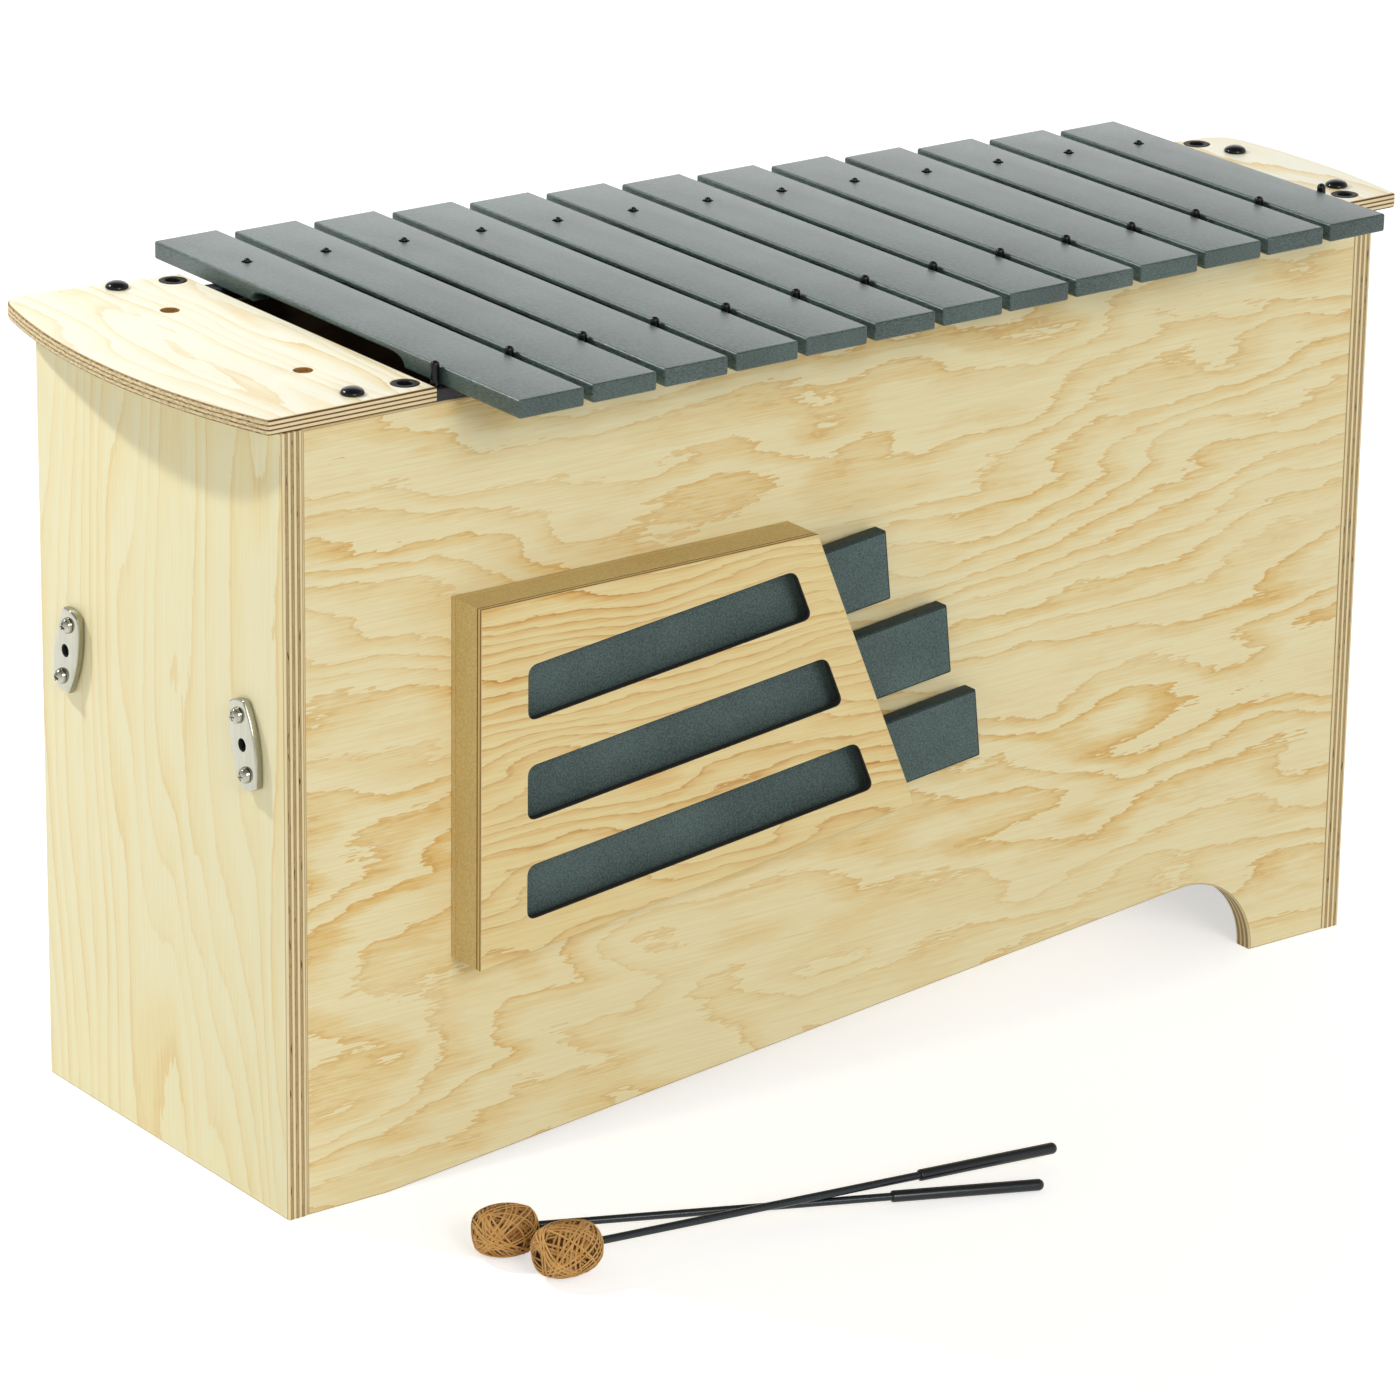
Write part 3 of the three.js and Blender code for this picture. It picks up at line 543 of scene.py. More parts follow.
def plywood_edge(name, ply, pale, brown, dark_first, dark_share, dashing=0.0):
    """Sawn plywood edge. Long-grain plies are pale and streaked, end-grain plies brown and open-pored,
    with dark glue lines drawn twice as wide as real ones so that they show. Where the saw ran along the
    plate's grain round a curve, the layers blur into short dashes. ply is the mean thickness of a layer
    in millimetres, and dark_share the end-grain layers' share of the whole."""
    made, shader, add = new_material(name)
    place = add("UVMap", uv_map="rim")
    parts = add("SeparateXYZ", {0: place})
    # Each pattern's length, width, detail and roughness
    patterns = {"streaks": (40, 0.8, 3, 0.5), "pores": (4, 1.1, 4, 0.7), "knots": (17, 2.4, 2, 0.5),
                "dashes": (4.5, 1.5, 3, 0.65)}
    drawn = {}
    for what, (length, width, detail, rough) in patterns.items():
        scale = (1 / (length * MM), 1 / (width * MM), 1)
        stretched = add("Mapping", {"Vector": place, "Scale": scale})
        noise = {"Vector": stretched, "Scale": 1, "Detail": detail, "Roughness": rough}
        drawn[what] = add("TexNoise", noise)
    first = 0.75 if dark_first else 0.25
    pairs = add("Math", {0: parts.outputs["Y"], 1: 0.5 / (ply * MM), 2: first}, operation="MULTIPLY_ADD")
    to_dark = add("Math", {0: pairs, 1: 0.5}, operation="PINGPONG")
    off_glue = add("Math", {0: to_dark, 1: (1 - dark_share) / 2}, operation="SUBTRACT")
    is_end_grain = add("Math", {0: off_glue, 1: 0}, operation="GREATER_THAN")
    to_glue = add("Math", {0: off_glue}, operation="ABSOLUTE")
    facing = add("SeparateXYZ", {0: add("NewGeometry").outputs["Normal"]})
    sideways = add("Math", {0: facing.outputs["X"]}, operation="ABSOLUTE")
    # What each share reads, where it starts and stops rising, and its most
    shares = {"glue": (to_glue, 0.07, 0.02, 0.6), "pore": (drawn["pores"], 0.54, 0.68, 0.6),
              "knot": (drawn["knots"], 0.62, 0.68, 1), "dash": (drawn["dashes"], 0.42, 0.6, 1),
              "blur": (sideways, 0.4, 0.8, dashing)}
    for what, (value, low, high, most) in shares.items():
        drawn[what] = add("MapRange", {"Value": value, "From Min": low, "From Max": high, "To Max": most})
    blemish = add("Math", {0: drawn["pore"], 1: drawn["knot"]}, operation="MAXIMUM")
    open_pore = add("Math", {0: blemish, 1: is_end_grain}, operation="MULTIPLY")
    # What each two-toned layer varies by, and its tones
    tones = {"long_grain": ("streaks", pale, "#e6c98a"), "end_grain": ("streaks", brown, "#855f2a"),
             "dashed": ("dash", "#f3dda4", "#6b4315")}
    for what, (share, first_tone, second_tone) in tones.items():
        drawn[what] = add("Mix", {0: drawn[share], 6: first_tone, 7: second_tone}, data_type="RGBA")
    seen = drawn["long_grain"]
    for share, over in ((is_end_grain, drawn["end_grain"]), (open_pore, "#4d3a22"),
                        (drawn["glue"], "#80591f"), (drawn["blur"], drawn["dashed"])):
        seen = add("Mix", {0: share, 6: seen, 7: over}, data_type="RGBA")
    relief = add("Bump", {"Strength": 0.3, "Distance": 0.3 * MM, "Height": drawn["pores"]})
    feed(shader, {"Base Color": seen, "Normal": relief, "Roughness": 0.6, "Specular IOR Level": 0.3})
    return made


def speckled(name, light, dark, grain, roughness, relief=0.04, specular=0.5, shape=(1, 1, 1)):
    """Even finish with a fine speckle and the matching relief: powder coat, rubber, fibreboard, plastic.
    grain is the speckle's size and relief its depth, both in millimetres, and shape the specks' reach
    along x, y and z in grains. The grain is drawn no finer than a picture element so that it shows."""
    made, shader, add = new_material(name)
    place = add("TexCoord").outputs["Object"]
    scale = tuple(1 / (grain * reach * MM) for reach in shape)
    shaped = add("Mapping", {"Vector": place, "Scale": scale})
    specks = add("TexNoise", {"Vector": shaped, "Scale": 1, "Detail": 2, "Roughness": 0.6})
    clouds = add("TexNoise", {"Vector": place, "Scale": 1 / (CLOUD_GRAINS * grain * MM), "Detail": 2})
    both = add("Math", {0: clouds, 1: 0.25, 2: specks}, operation="MULTIPLY_ADD")
    share = add("MapRange", {"Value": both, "From Min": 0.45, "From Max": 0.8})
    mixed = add("Mix", {0: share, 6: dark, 7: light}, data_type="RGBA")
    span = {"From Min": 0.3, "From Max": 0.7, "To Min": 0.8 * roughness, "To Max": 1.2 * roughness}
    softness = add("MapRange", {"Value": specks, **span})
    bump = add("Bump", {"Distance": relief * MM, "Height": specks})
    feed(shader, {"Base Color": mixed, "Normal": bump, "Roughness": softness,
                  "Specular IOR Level": specular})
    return made


def plated_nickel():
    """Nickel plating over stamped steel: a mirror that faint polishing marks make a little soft."""
    made, shader, add = new_material("plated_nickel")
    place = add("TexCoord").outputs["Object"]
    scale = tuple(1 / (reach * MM) for reach in POLISH_MARK)
    stretched = add("Mapping", {"Vector": place, "Scale": scale})
    marks = add("TexNoise", {"Vector": stretched, "Scale": 1, "Detail": 3})
    softness = add("MapRange", {"Value": marks, "To Min": 0.05, "To Max": 0.13})
    tint = add("Mix", {0: marks, 6: "#b9b8a9", 7: "#9d9c8f"}, data_type="RGBA")
    feed(shader, {"Base Color": tint, "Roughness": softness, "Metallic": 1.0})
    return made


def cotton_yarn():
    """Tan cotton yarn: matt and twisted. Painted shade turns each strand's sides dark brown down in the
    grooves between strands and darkens the lower layers. Runs of a ball's yarn differ a little in tone."""
    made, shader, add = new_material("cotton_yarn")
    parts = add("SeparateXYZ", {0: add("UVMap", uv_map="rim")})
    turn, run = parts.outputs["X"], parts.outputs["Y"]
    # Painted shade: each strand darkens from its outside towards its sides, down in the grooves between
    # strands
    from_outside = add("Math", {0: turn, 1: 0.5}, operation="PINGPONG")
    groove_shade = add("MapRange", {"Value": from_outside, "From Min": 0.08, "From Max": 0.3},
                 interpolation_type="SMOOTHSTEP")
    twist = add("Math", {0: run, 1: 1 / (YARN_TWIST * MM), 2: turn}, operation="MULTIPLY_ADD")
    plies = add("Math", {0: twist, 1: 0.25}, operation="PINGPONG")
    place = add("TexCoord").outputs["Object"]
    shades = add("TexNoise", {"Vector": place, "Scale": 1 / (YARN_SHADE * MM), "Detail": 3})
    # Painted shade: the lower layers of the winding darken towards a deeper brown
    layer = add("Math", {0: turn}, operation="FLOOR")
    outer = add("MapRange", {"Value": layer, "From Max": 0.8 * YARN_BANDS})
    fresh = add("Mix", {0: shades, 6: "#b67e33", 7: "#f2c27e"}, data_type="RGBA")
    base = add("Mix", {0: outer, 6: "#744614", 7: fresh}, data_type="RGBA")
    shaded = add("Mix", {0: groove_shade, 6: base, 7: "#4a2b0a"}, data_type="RGBA")
    relief = add("Bump", {"Strength": 0.4, "Distance": 0.3 * MM, "Height": plies})
    feed(shader, {"Base Color": shaded, "Normal": relief, "Roughness": 0.95, "Sheen Weight": 0.1,
                  "Specular IOR Level": 0.15})
    return made


front_pine = pine_veneer("rotary_cut_pine", "x", "#f5eabd", "#e7c377", "#ddb064", ring_gap=31, swirl=4.4,
                         swirl_size=(170, 52), jag=0.65)
end_pine = pine_veneer("straight_cut_pine", "z", "#f1eac1", "#edd898", "#e6cb8d", ring_gap=23, swirl=5.0,
                       swirl_size=(460, 66), jag=0.2, strength=0.8)
board_pine = pine_veneer("pale_cut_pine", "y", "#fbf9e4", "#f2dca0", "#e8c880", ring_gap=18, swirl=3.8,
                         swirl_size=(190, 46), jag=0.25)
face_pine = pine_veneer("figured_pine", "x", "#f1dfa6", "#deae5e", "#c68a3e", ring_gap=14, swirl=4.6,
                        swirl_size=(140, 46), jag=0.45)
# The box's inner faces, drawn so dark that the figure hardly shows: painted shade for the dark deep inside
# the box
shaded_inner_pine = pine_veneer("shade_darkened_box_inside", "x", "#4c3a25", "#3e2d15", "#31230f", ring_gap=40, swirl=4.0,
                         swirl_size=(260, 80), jag=0.3, strength=0.8)
wall_edge = plywood_edge("walls_sawn_edge", PLY / 7, "#fff5d0", "#dcc796", dark_first=True, dark_share=0.5)
board_edge = plywood_edge("boards_sawn_edge", BOARD_THICKNESS / 7, "#fff4d4", "#4f3315", dark_first=False,
                          dark_share=0.32, dashing=0.45)
face_edge = plywood_edge("face_sawn_edge", 2, "#cdb67c", "#7d6337", dark_first=False, dark_share=0.3)
# Sealed fibreboard: even tan and matt, with a faint fleck of fibres
fibreboard = speckled("sealed_fibreboard", "#dfc589", "#c8ae6e", 1.6, 0.65, 0.03, 0.3)
# Textured polyester powder coat: grey with a green cast, satin, so that it turns pale at a flat angle.
# Its specks are drawn long from front to back and fine upright, so that level faces show a grain and the
# ends look even
powder_coat = speckled("grey_powder_coat", "#5c736d", "#0e1312", 2.1, 0.4, 0.02, 0.6, shape=(1, 2.6, 0.15))
# The same coat on bars that are never struck, still dull from the oven
dull_coat = speckled("dull_powder_coat", "#687a78", "#445250", 1.5, 0.65, 0.08, 0.12)
# Their narrow sides, drawn darker: painted shade
shaded_side_coat = speckled("shade_darkened_coat", "#465351", "#2b3533", 1.5, 0.65, 0.08, 0.12)
# Cured rubber: near black, with a soft sheen
black_rubber = speckled("black_rubber", "#17181a", "#0b0c0d", 1.2, 0.5)
# Stoved lacquer on steel: black, with a small sharp highlight
black_lacquer = speckled("black_lacquer", "#0d0e10", "#060708", 1.2, 0.18, 0.01, 0.3)
# Moulded plastic: black and dull
black_plastic = speckled("black_plastic", "#0b0c0d", "#050606", 1.2, 0.6, 0.03, 0.3)
# Near black, matt, a little brown: the cut faces of the slots, and painted shade on the rims and bottom
# disc of the plates' holes
dark_cut_and_painted_shade = speckled("dark_cut_and_painted_shade", "#23241f", "#131411", 1.2, 0.7)
# Sawn end grain: brown and matt
plug_wood = speckled("cut_plug_wood", "#b98a45", "#80571f", 1.2, 0.7)
nickel = plated_nickel()
yarn_cotton = cotton_yarn()
# Old yarn under the winding: brown, with no shine
head_core = speckled("wound_core", "#7d5524", "#593a15", 1.5, 0.95)
# Drawn glass fibre: blue black and glossy
fibre_rod = speckled("dark_glass_fibre", "#1a262b", "#0f191d", 1.4, 0.2, 0.01)
# Moulded rubber, wiped glossy: a darker blue black
grip_sleeve = speckled("dark_rubber_sleeve", "#131c20", "#090f12", 1.4, 0.2, 0.01)


# Pieces of the box


def panel_outline():
    """Long panel in x and z: the lower edge climbs to the right and ends in an arch at the right foot."""
    left, right = PLY + FIT, box_length - PLY - FIT
    foot = box_length - RIGHT_FOOT
    radius = ARCH_SLOPE * (foot - LEFT_FOOT) / (math.hypot(1, ARCH_SLOPE) + ARCH_SLOPE)
    bow = arc((foot - radius, 0), radius, math.pi / 2 + math.atan(ARCH_SLOPE), 0)
    top = [(right, BOX_HEIGHT), (left, BOX_HEIGHT)]
    return np.vstack([[(left, 0), (LEFT_FOOT, 0)], bow, [(right, 0)], top])


def make_box():
    """Front, back and end panels and the floor of the resonator."""
    panel_places = {"front": lambda u, v, w: (u, w, v),
                    "back": lambda u, v, w: (u, back_face(u) - w * ply_along_y / PLY, v)}
    for side, place in panel_places.items():
        piece(f"{side}_panel_wood", sheet([panel_outline()], place, PLY, [WALL_EASE]),
              [front_pine, wall_edge, shaded_inner_pine], "box", [f"{side}_panel"])
    for side, outer, inwards in (("left", 0, 1), ("right", box_length, -1)):
        depth = float(back_face(outer))
        outline = [(0, 0), (depth, 0), (depth, BOX_HEIGHT), (0, BOX_HEIGHT)]

        def end_place(u, v, w):
            x = outer + inwards * w
            return x, u * back_face(x) / depth, v
        piece(f"{side}_end_wood", sheet([outline], end_place, PLY, [WALL_EASE]),
              [end_pine, wall_edge, shaded_inner_pine], "box", [f"{side}_end_panel"])
    left, right, front = PLY + FIT, box_length - PLY - FIT, PLY + FIT
    inner_back = [float(back_face(x)) - ply_along_y - FIT for x in (left, right)]
    plan = [(left, front), (right, front), (right, inner_back[1]), (left, inner_back[0])]

    def floor_place(u, v, w):
        return u, v, FLOOR_LIFT + ARCH_SLOPE * (u - LEFT_FOOT) + w
    piece("floor_board_wood", sheet([plan], floor_place, FLOOR_THICKNESS, [FLOOR_EASE]),
          [front_pine, wall_edge, shaded_inner_pine], "box", ["floor_board"])


def board_outline(inner, outer):
    """Top board in plan: straight inner and front edges, bulging outer edge, back edge along the wall."""
    way = math.copysign(1, outer - inner)
    corner_end = outer - way * BOARD_CORNER
    back, corner_back, inner_back = (float(back_face(x)) + BOARD_BACK_OVERHANG
                                     for x in (outer, corner_end, inner))
    half = back / 2
    centre = outer - way * math.sqrt(BOARD_BULGE_RADIUS**2 - half**2)
    first = math.asin((BOARD_FRONT_CORNER - half) / BOARD_BULGE_RADIUS)
    last = math.asin((half - BOARD_CORNER) / BOARD_BULGE_RADIUS)
    bulge = arc((0, half), BOARD_BULGE_RADIUS, first, last)
    bulge[:, 0] = centre + way * bulge[:, 0]
    front_corner = curve((outer - way * BOARD_FRONT_CORNER, 0), (outer, 0), bulge[0])
    back_corner = curve(bulge[-1], (outer, back), (corner_end, corner_back))
    return np.vstack([[(inner, 0)], front_corner, bulge[1:-1], back_corner, [(inner, inner_back)]])


def make_top_boards():
    """Both top boards with their bolts, sockets and plugs."""
    top = box_mm("left_top_board")[1][2]
    inner = {"left": box_mm("left_top_board")[1][0], "right": box_mm("right_top_board")[0][0]}
    outer = {"left": -LEFT_OVERHANG, "right": box_length + RIGHT_OVERHANG}
    plugs = [(inner["left"] - PLUG_INSET, y) for y in PLUG_PLACES]
    head = np.vstack([BOLT_RIM, dome(BOLT_RADIUS, BOLT_DOME_BASE, BOLT_DOME_HEIGHT)])
    fittings = (("bolt", "head", head, black_lacquer), ("socket", "bush", SOCKET_BUSH, black_plastic))
    for side in ("left", "right"):
        spots = {f"{side}_{row}_{what}": sum(box_mm(f"{side}_{row}_{what}"))[:2] / 2
                 for row in ("front", "rear") for what in ("bolt", "socket")}
        holes = [circle(spot, SOCKET_RADIUS + FIT) for name, spot in spots.items() if "socket" in name]
        if side == "left":
            holes += [circle(spot, PLUG_RADIUS) for spot in plugs]
        loops = [board_outline(inner[side], outer[side]), *holes]
        eases = [BOARD_EASE] + [BOARD_HOLE_EASE] * len(holes)
        patches = sheet(loops, lambda u, v, w: (u, v, top - w), BOARD_THICKNESS, eases)
        piece(f"{side}_top_board_wood", patches, [board_pine, board_edge, board_pine, plug_wood], "box",
              [f"{side}_top_board"])
        for row in ("front", "rear"):
            for what, part, profile, finish in fittings:
                name = f"{side}_{row}_{what}"
                piece(f"{name}_{part}", turned(profile, [(*spots[name], top)], Z_AXES), [finish], "box",
                      [name])
    plug_spots = [(*spot, top - BOARD_THICKNESS) for spot in plugs]
    piece("left_board_plugs", turned(PLUG, plug_spots, Z_AXES), [plug_wood], "box")


def make_rails():
    """Black rails on the long panels, with a domed peg in every gap and a domed pin through every bar."""
    low, high = box_mm("front_peg_rail")
    bar_low, bar_high = box_mm("bar_01")
    pitch = box_mm("bar_02")[0][0] - bar_low[0]
    first_bar = (bar_low[0] + bar_high[0]) / 2
    rail_top = bar_low[2] - FIT
    ends = [(low[0], 0), (high[0], 0), (high[0], RAIL_WIDTH), (low[0], RAIL_WIDTH)]
    for side, rail in (("front", "front_peg_rail"), ("back", "back_pin_rail")):
        def place(u, v, w):
            return u, wall_middle(side, u) - RAIL_WIDTH / 2 + v, rail_top - w
        patches = sheet([ends], place, rail_top - low[2], [RAIL_EASE])
        piece(f"{side}_rail_strip", patches, [black_rubber], "box", [rail])
    peg_x = first_bar + pitch * (np.arange(BAR_COUNT + 1) - 0.5)
    pin_x = first_bar + pitch * np.arange(BAR_COUNT)
    peg_y = wall_middle("front", peg_x)
    pin_y = wall_middle("back", pin_x) + PIN_SETBACK
    for name, radius, rise, x, y in (("front_pegs", PEG_RADIUS, PEG_RISE, peg_x, peg_y),
                                     ("back_pins", PIN_RADIUS, PIN_RISE, pin_x, pin_y)):
        tall = bar_high[2] + rise - low[2]
        profile = np.vstack([[(0, PEG_FOOT), (radius, PEG_FOOT)], dome(radius, tall - radius, radius)])
        spots = np.c_[x, y, np.full(len(x), low[2])]
        piece(name, turned(profile, spots, Z_AXES, PEG_SIDES), [black_lacquer], "box")
    return pin_x, pin_y


# Bars


def bar_outline(front, back, low, high, scoop=None):
    """Bar from the side, in y and z: eased corners, and a scoop in the underside between two places."""
    e = BAR_EASE
    parts = [curve((front, low + e), (front, low), (front + e, low), EASE_STEPS)]
    if scoop:
        start, end = scoop
        deep = low + SCOOP_DEPTH
        parts += [curve((start, low), (start, deep), (start + SCOOP_END, deep)),
                  curve((end - SCOOP_END, deep), (end, deep), (end, low))]
    parts += [curve((back - e, low), (back, low), (back, low + e), EASE_STEPS),
              curve((back, high - e), (back, high), (back - e, high), EASE_STEPS),
              curve((front + e, high), (front, high), (front, high - e), EASE_STEPS)]
    return np.vstack(parts)


def drill(made, spot, radius, depth):
    """Cuts an upright round hole through a piece."""
    profile = [(0, -depth), (radius, -depth), (radius, depth), (0, depth)]
    patches = turned(profile, [spot], Z_AXES, THIN_SIDES)
    tool = piece("drill", patches, list(made.data.materials), "box")
    cut = made.modifiers.new("hole", "BOOLEAN")
    cut.object = tool
    cut.solver = "EXACT"
    seen = made.evaluated_get(bpy.context.evaluated_depsgraph_get())
    made.data = bpy.data.meshes.new_from_object(seen)
    made.data.set_sharp_from_angle(angle=CREASE)
    made.modifiers.clear()
    bpy.data.objects.remove(tool)


def make_bars(pin_x, pin_y):
    """Tuned bars on the rails, each drilled for its pin."""
    for i in range(BAR_COUNT):
        number = f"bar_{i + 1:02d}"
        low, high = box_mm(number)
        inset = SCOOP_INSETS[0] + (SCOOP_INSETS[1] - SCOOP_INSETS[0]) * i / (BAR_COUNT - 1)
        scoop = (PLY + inset, float(back_face(pin_x[i])) - ply_along_y - inset)
        outline = bar_outline(low[1], high[1], low[2], high[2], scoop)
        patches = sheet([outline], lambda u, v, w: (low[0] + w, u, v), high[0] - low[0], [BAR_EASE])
        made = piece(f"{number}_coated", patches, [powder_coat], number, [number])
        drill(made, (pin_x[i], pin_y[i], (low[2] + high[2]) / 2), PIN_HOLE_RADIUS, 2 * (high[2] - low[2]))


# Holder and spare bars


def channel_middle(i):
    """Distance of a channel's middle line across the slant from the holder's lower edge."""
    return HOLDER_BAND + CHANNEL / 2 + i * (CHANNEL + HOLDER_RIB)


def slanted(s, t):
    """Point s along and t across the channels from the holder's lower left corner, in x and z."""
    return (HOLDER_LEFT + s * math.cos(slant) - t * math.sin(slant),
            HOLDER_BOTTOM + s * math.sin(slant) + t * math.cos(slant))


holder_top = (HOLDER_BOTTOM + (channel_middle(len(SPARE_LENGTHS) - 1) + CHANNEL / 2) / math.cos(slant)
              + HOLDER_SLOPE * HOLDER_TOP_LENGTH + HOLDER_TOP_BAND)


def left_edge(t, inset):
    """Distance along a channel line to the upright left edge, plus an inset."""
    return (inset + t * math.sin(slant)) / math.cos(slant)


def right_edge(t, inset):
    """Distance along a channel line to the leaning right edge, less an inset."""
    reach = HOLDER_TOP_LENGTH - inset + t * math.sin(slant)
    drop = holder_top - HOLDER_BOTTOM - t * math.cos(slant)
    return (reach + HOLDER_LEAN * drop) / (math.cos(slant) + HOLDER_LEAN * math.sin(slant))


def make_holder():
    """Back sheet, comb with three open channels, and a face with three slots."""
    corners = [(HOLDER_LEFT, holder_top), (HOLDER_LEFT, HOLDER_BOTTOM), slanted(right_edge(0, 0), 0),
               (HOLDER_LEFT + HOLDER_TOP_LENGTH, holder_top)]
    comb, slots = corners[:3], []
    for i in range(len(SPARE_LENGTHS)):
        middle = channel_middle(i)
        low, high = middle - CHANNEL / 2, middle + CHANNEL / 2
        closed = left_edge(middle, HOLDER_LEFT_BAND)
        comb = comb + [slanted(right_edge(low, 0), low), slanted(closed, low), slanted(closed, high),
                       slanted(right_edge(high, 0), high)]
        low = middle + SLOT_RISE - SLOT_HEIGHT / 2
        high = low + SLOT_HEIGHT
        slots.append(rounded([slanted(left_edge(low, SLOT_LEFT_MARGIN), low),
                              slanted(right_edge(low, SLOT_RIGHT_MARGIN), low),
                              slanted(right_edge(high, SLOT_RIGHT_MARGIN), high),
                              slanted(left_edge(high, SLOT_LEFT_MARGIN), high)], SLOT_CORNER))
    face_finish = [face_pine, face_edge, face_pine, dark_cut_and_painted_shade]
    face_eases = [FACE_EASE] + [SLOT_EASE] * len(slots)
    layers = (("holder_back", [corners], [HOLDER_EASE], [fibreboard], "fibreboard"),
              ("holder_frame", [comb + corners[3:]], [HOLDER_EASE], [fibreboard], "fibreboard"),
              ("holder_face", [corners, *slots], face_eases, face_finish, "pine_plywood"))
    for name, loops, eases, finish, slot in layers:
        low, high = box_mm(name)
        patches = sheet(loops, lambda u, v, w: (u, low[1] + w, v), high[1] - low[1], eases)
        piece(f"{name}_board", patches, finish, "box", [name])


def make_spare_bars():
    """Spare bars in the holder's channels, each against its channel's closed end."""
    for i, length in enumerate(SPARE_LENGTHS):
        name = f"spare_bar_{i + 1}"
        low, high = box_mm(name)
        start = left_edge(channel_middle(i), HOLDER_LEFT_BAND) + SPARE_START
        bottom = channel_middle(i) - SPARE_WIDTH / 2
        outline = bar_outline(start, start + length, bottom, bottom + SPARE_WIDTH)

        def place(u, v, w):
            x, z = slanted(u, v)
            return x, low[1] + w, z
        patches = sheet([outline], place, high[1] - low[1], [BAR_EASE])
        # The rims take the darker coat, which is painted shade on the bars' narrow sides
        piece(f"{name}_coated", patches, [dull_coat, shaded_side_coat], name, [name])


# Plates


def screw_head(spot, axes):
    """Domed head: height H cos a at radius R sin a, less the depth of a soft-edged cross in the middle."""
    slope = np.r_[np.linspace(0, math.pi / 2, SCREW_STEPS), 0][:, None]
    turn = np.linspace(0, 2 * math.pi, SCREW_SIDES, endpoint=False)
    u, v = SCREW_RADIUS * np.sin(slope) * np.cos(turn), SCREW_RADIUS * np.sin(slope) * np.sin(turn)

    def arm(p, q):
        ends = np.clip((CROSS_REACH - np.abs(p)) / CROSS_SOFT_END + 0.5, 0, 1)
        return ends * np.clip((CROSS_WIDTH - np.abs(q)) / CROSS_SOFT_SIDE + 0.5, 0, 1)
    height = SCREW_HEIGHT * np.cos(slope) - CROSS_DEPTH * np.maximum(arm(u, v), arm(v, u))
    height[-1] = 0
    points = spot + u[..., None] * axes[0] + v[..., None] * axes[1] + height[..., None] * axes[2]
    return [{"points": points.reshape(-1, 3), "faces": ring_faces(*u.shape), "material": 0, "smooth": True}]


def make_plates():
    """Four leaning plates with convex sides, a hole in the middle and two domed cross-slot screws."""
    half_end, half_height = PLATE_END_WIDTH / 2, PLATE_HEIGHT / 2
    corners = [(-half_end, -half_height), (half_end, -half_height),
               (half_end, half_height), (-half_end, half_height)]
    bulges = [(0, -half_height - PLATE_END_BULGE), (half_end + PLATE_BULGE, 0),
              (0, half_height + PLATE_END_BULGE), (-half_end - PLATE_BULGE, 0)]
    outline = np.vstack([curve(*three)[:-1] for three in zip(corners, bulges, corners[1:] + corners[:1])])
    loops = [outline, circle((0, 0), PLATE_HOLE)]
    ends = (("left", -FIT, -1, LEFT_DEPTH), ("right", box_length + FIT, 1, RIGHT_DEPTH))
    for side, face_x, out, depth in ends:
        rows = (("front", PLATE_INSET, PLATE_LEAN), ("rear", depth - PLATE_INSET, -PLATE_LEAN))
        for row, y, lean in rows:
            across = np.array([0, math.cos(lean), -math.sin(lean)])
            along = np.array([0, math.sin(lean), math.cos(lean)])
            outwards = np.array([out, 0, 0])
            axes = (across, along, outwards)
            middle = np.array([face_x, y, PLATE_CENTRE_HEIGHT])

            def place(u, v, w):
                flat = u[..., None] * across + v[..., None] * along
                return np.moveaxis(middle + flat + (PLATE_THICKNESS - w)[..., None] * outwards, -1, 0)
            name = f"{side}_{row}_plate"
            patches = sheet(loops, place, PLATE_THICKNESS, [PLATE_EASE, PLATE_HOLE_EASE])
            # Painted shade: the hole's rim and this dark disc at its bottom stand in for the shade in the
            # hole
            patches += turned(HOLE_BOTTOM, [middle], axes, material=3)
            finish = [nickel, nickel, nickel, dark_cut_and_painted_shade]
            piece(f"{name}_metal", patches, finish, "box", [name])
            for end, sign in (("upper", 1), ("lower", -1)):
                spot = middle + (PLATE_THICKNESS + FIT) * outwards + sign * SCREW_SPACING / 2 * along
                piece(f"{name}_{end}_screw_head", screw_head(spot, axes), [nickel], "box",
                      [f"{name}_{end}_screw"])


# Mallets


def mallet_frame(who):
    """Middle of the head, and axes along the stick, level and upright, by the stick's longest spread."""
    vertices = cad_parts[f"{who}_stick"].data.vertices
    stick = np.empty(3 * len(vertices), np.float32)
    vertices.foreach_get("co", stick)
    stick = stick.reshape(-1, 3).astype(float)
    along = np.linalg.svd(stick - stick.mean(axis=0), full_matrices=False)[2][0]
    head = sum(box_mm(f"{who}_core")) / 2
    towards_grip = (stick.mean(axis=0) - CORNER) / MM - head
    along = along * math.copysign(1, along @ towards_grip)
    level = np.cross((0, 0, 1), along)
    level = level / np.linalg.norm(level)
    return head, along, level, np.cross(along, level)


def barrel(directions, swell):
    """Unit directions (along, level, up) moved onto the head: an ellipsoid whose ends flatten, since its
    length s is held below a limit by s / (1 + s^6)^(1/6)."""
    grown = 1 + swell / HEAD_RADIUS
    s = directions[..., 0] * HEAD_STRETCH / HEAD_LIMIT
    s = HEAD_LIMIT * grown * s / (1 + s**6) ** (1 / 6)
    return np.concatenate([s[..., None], HEAD_RADIUS * grown * directions[..., 1:]], axis=-1)


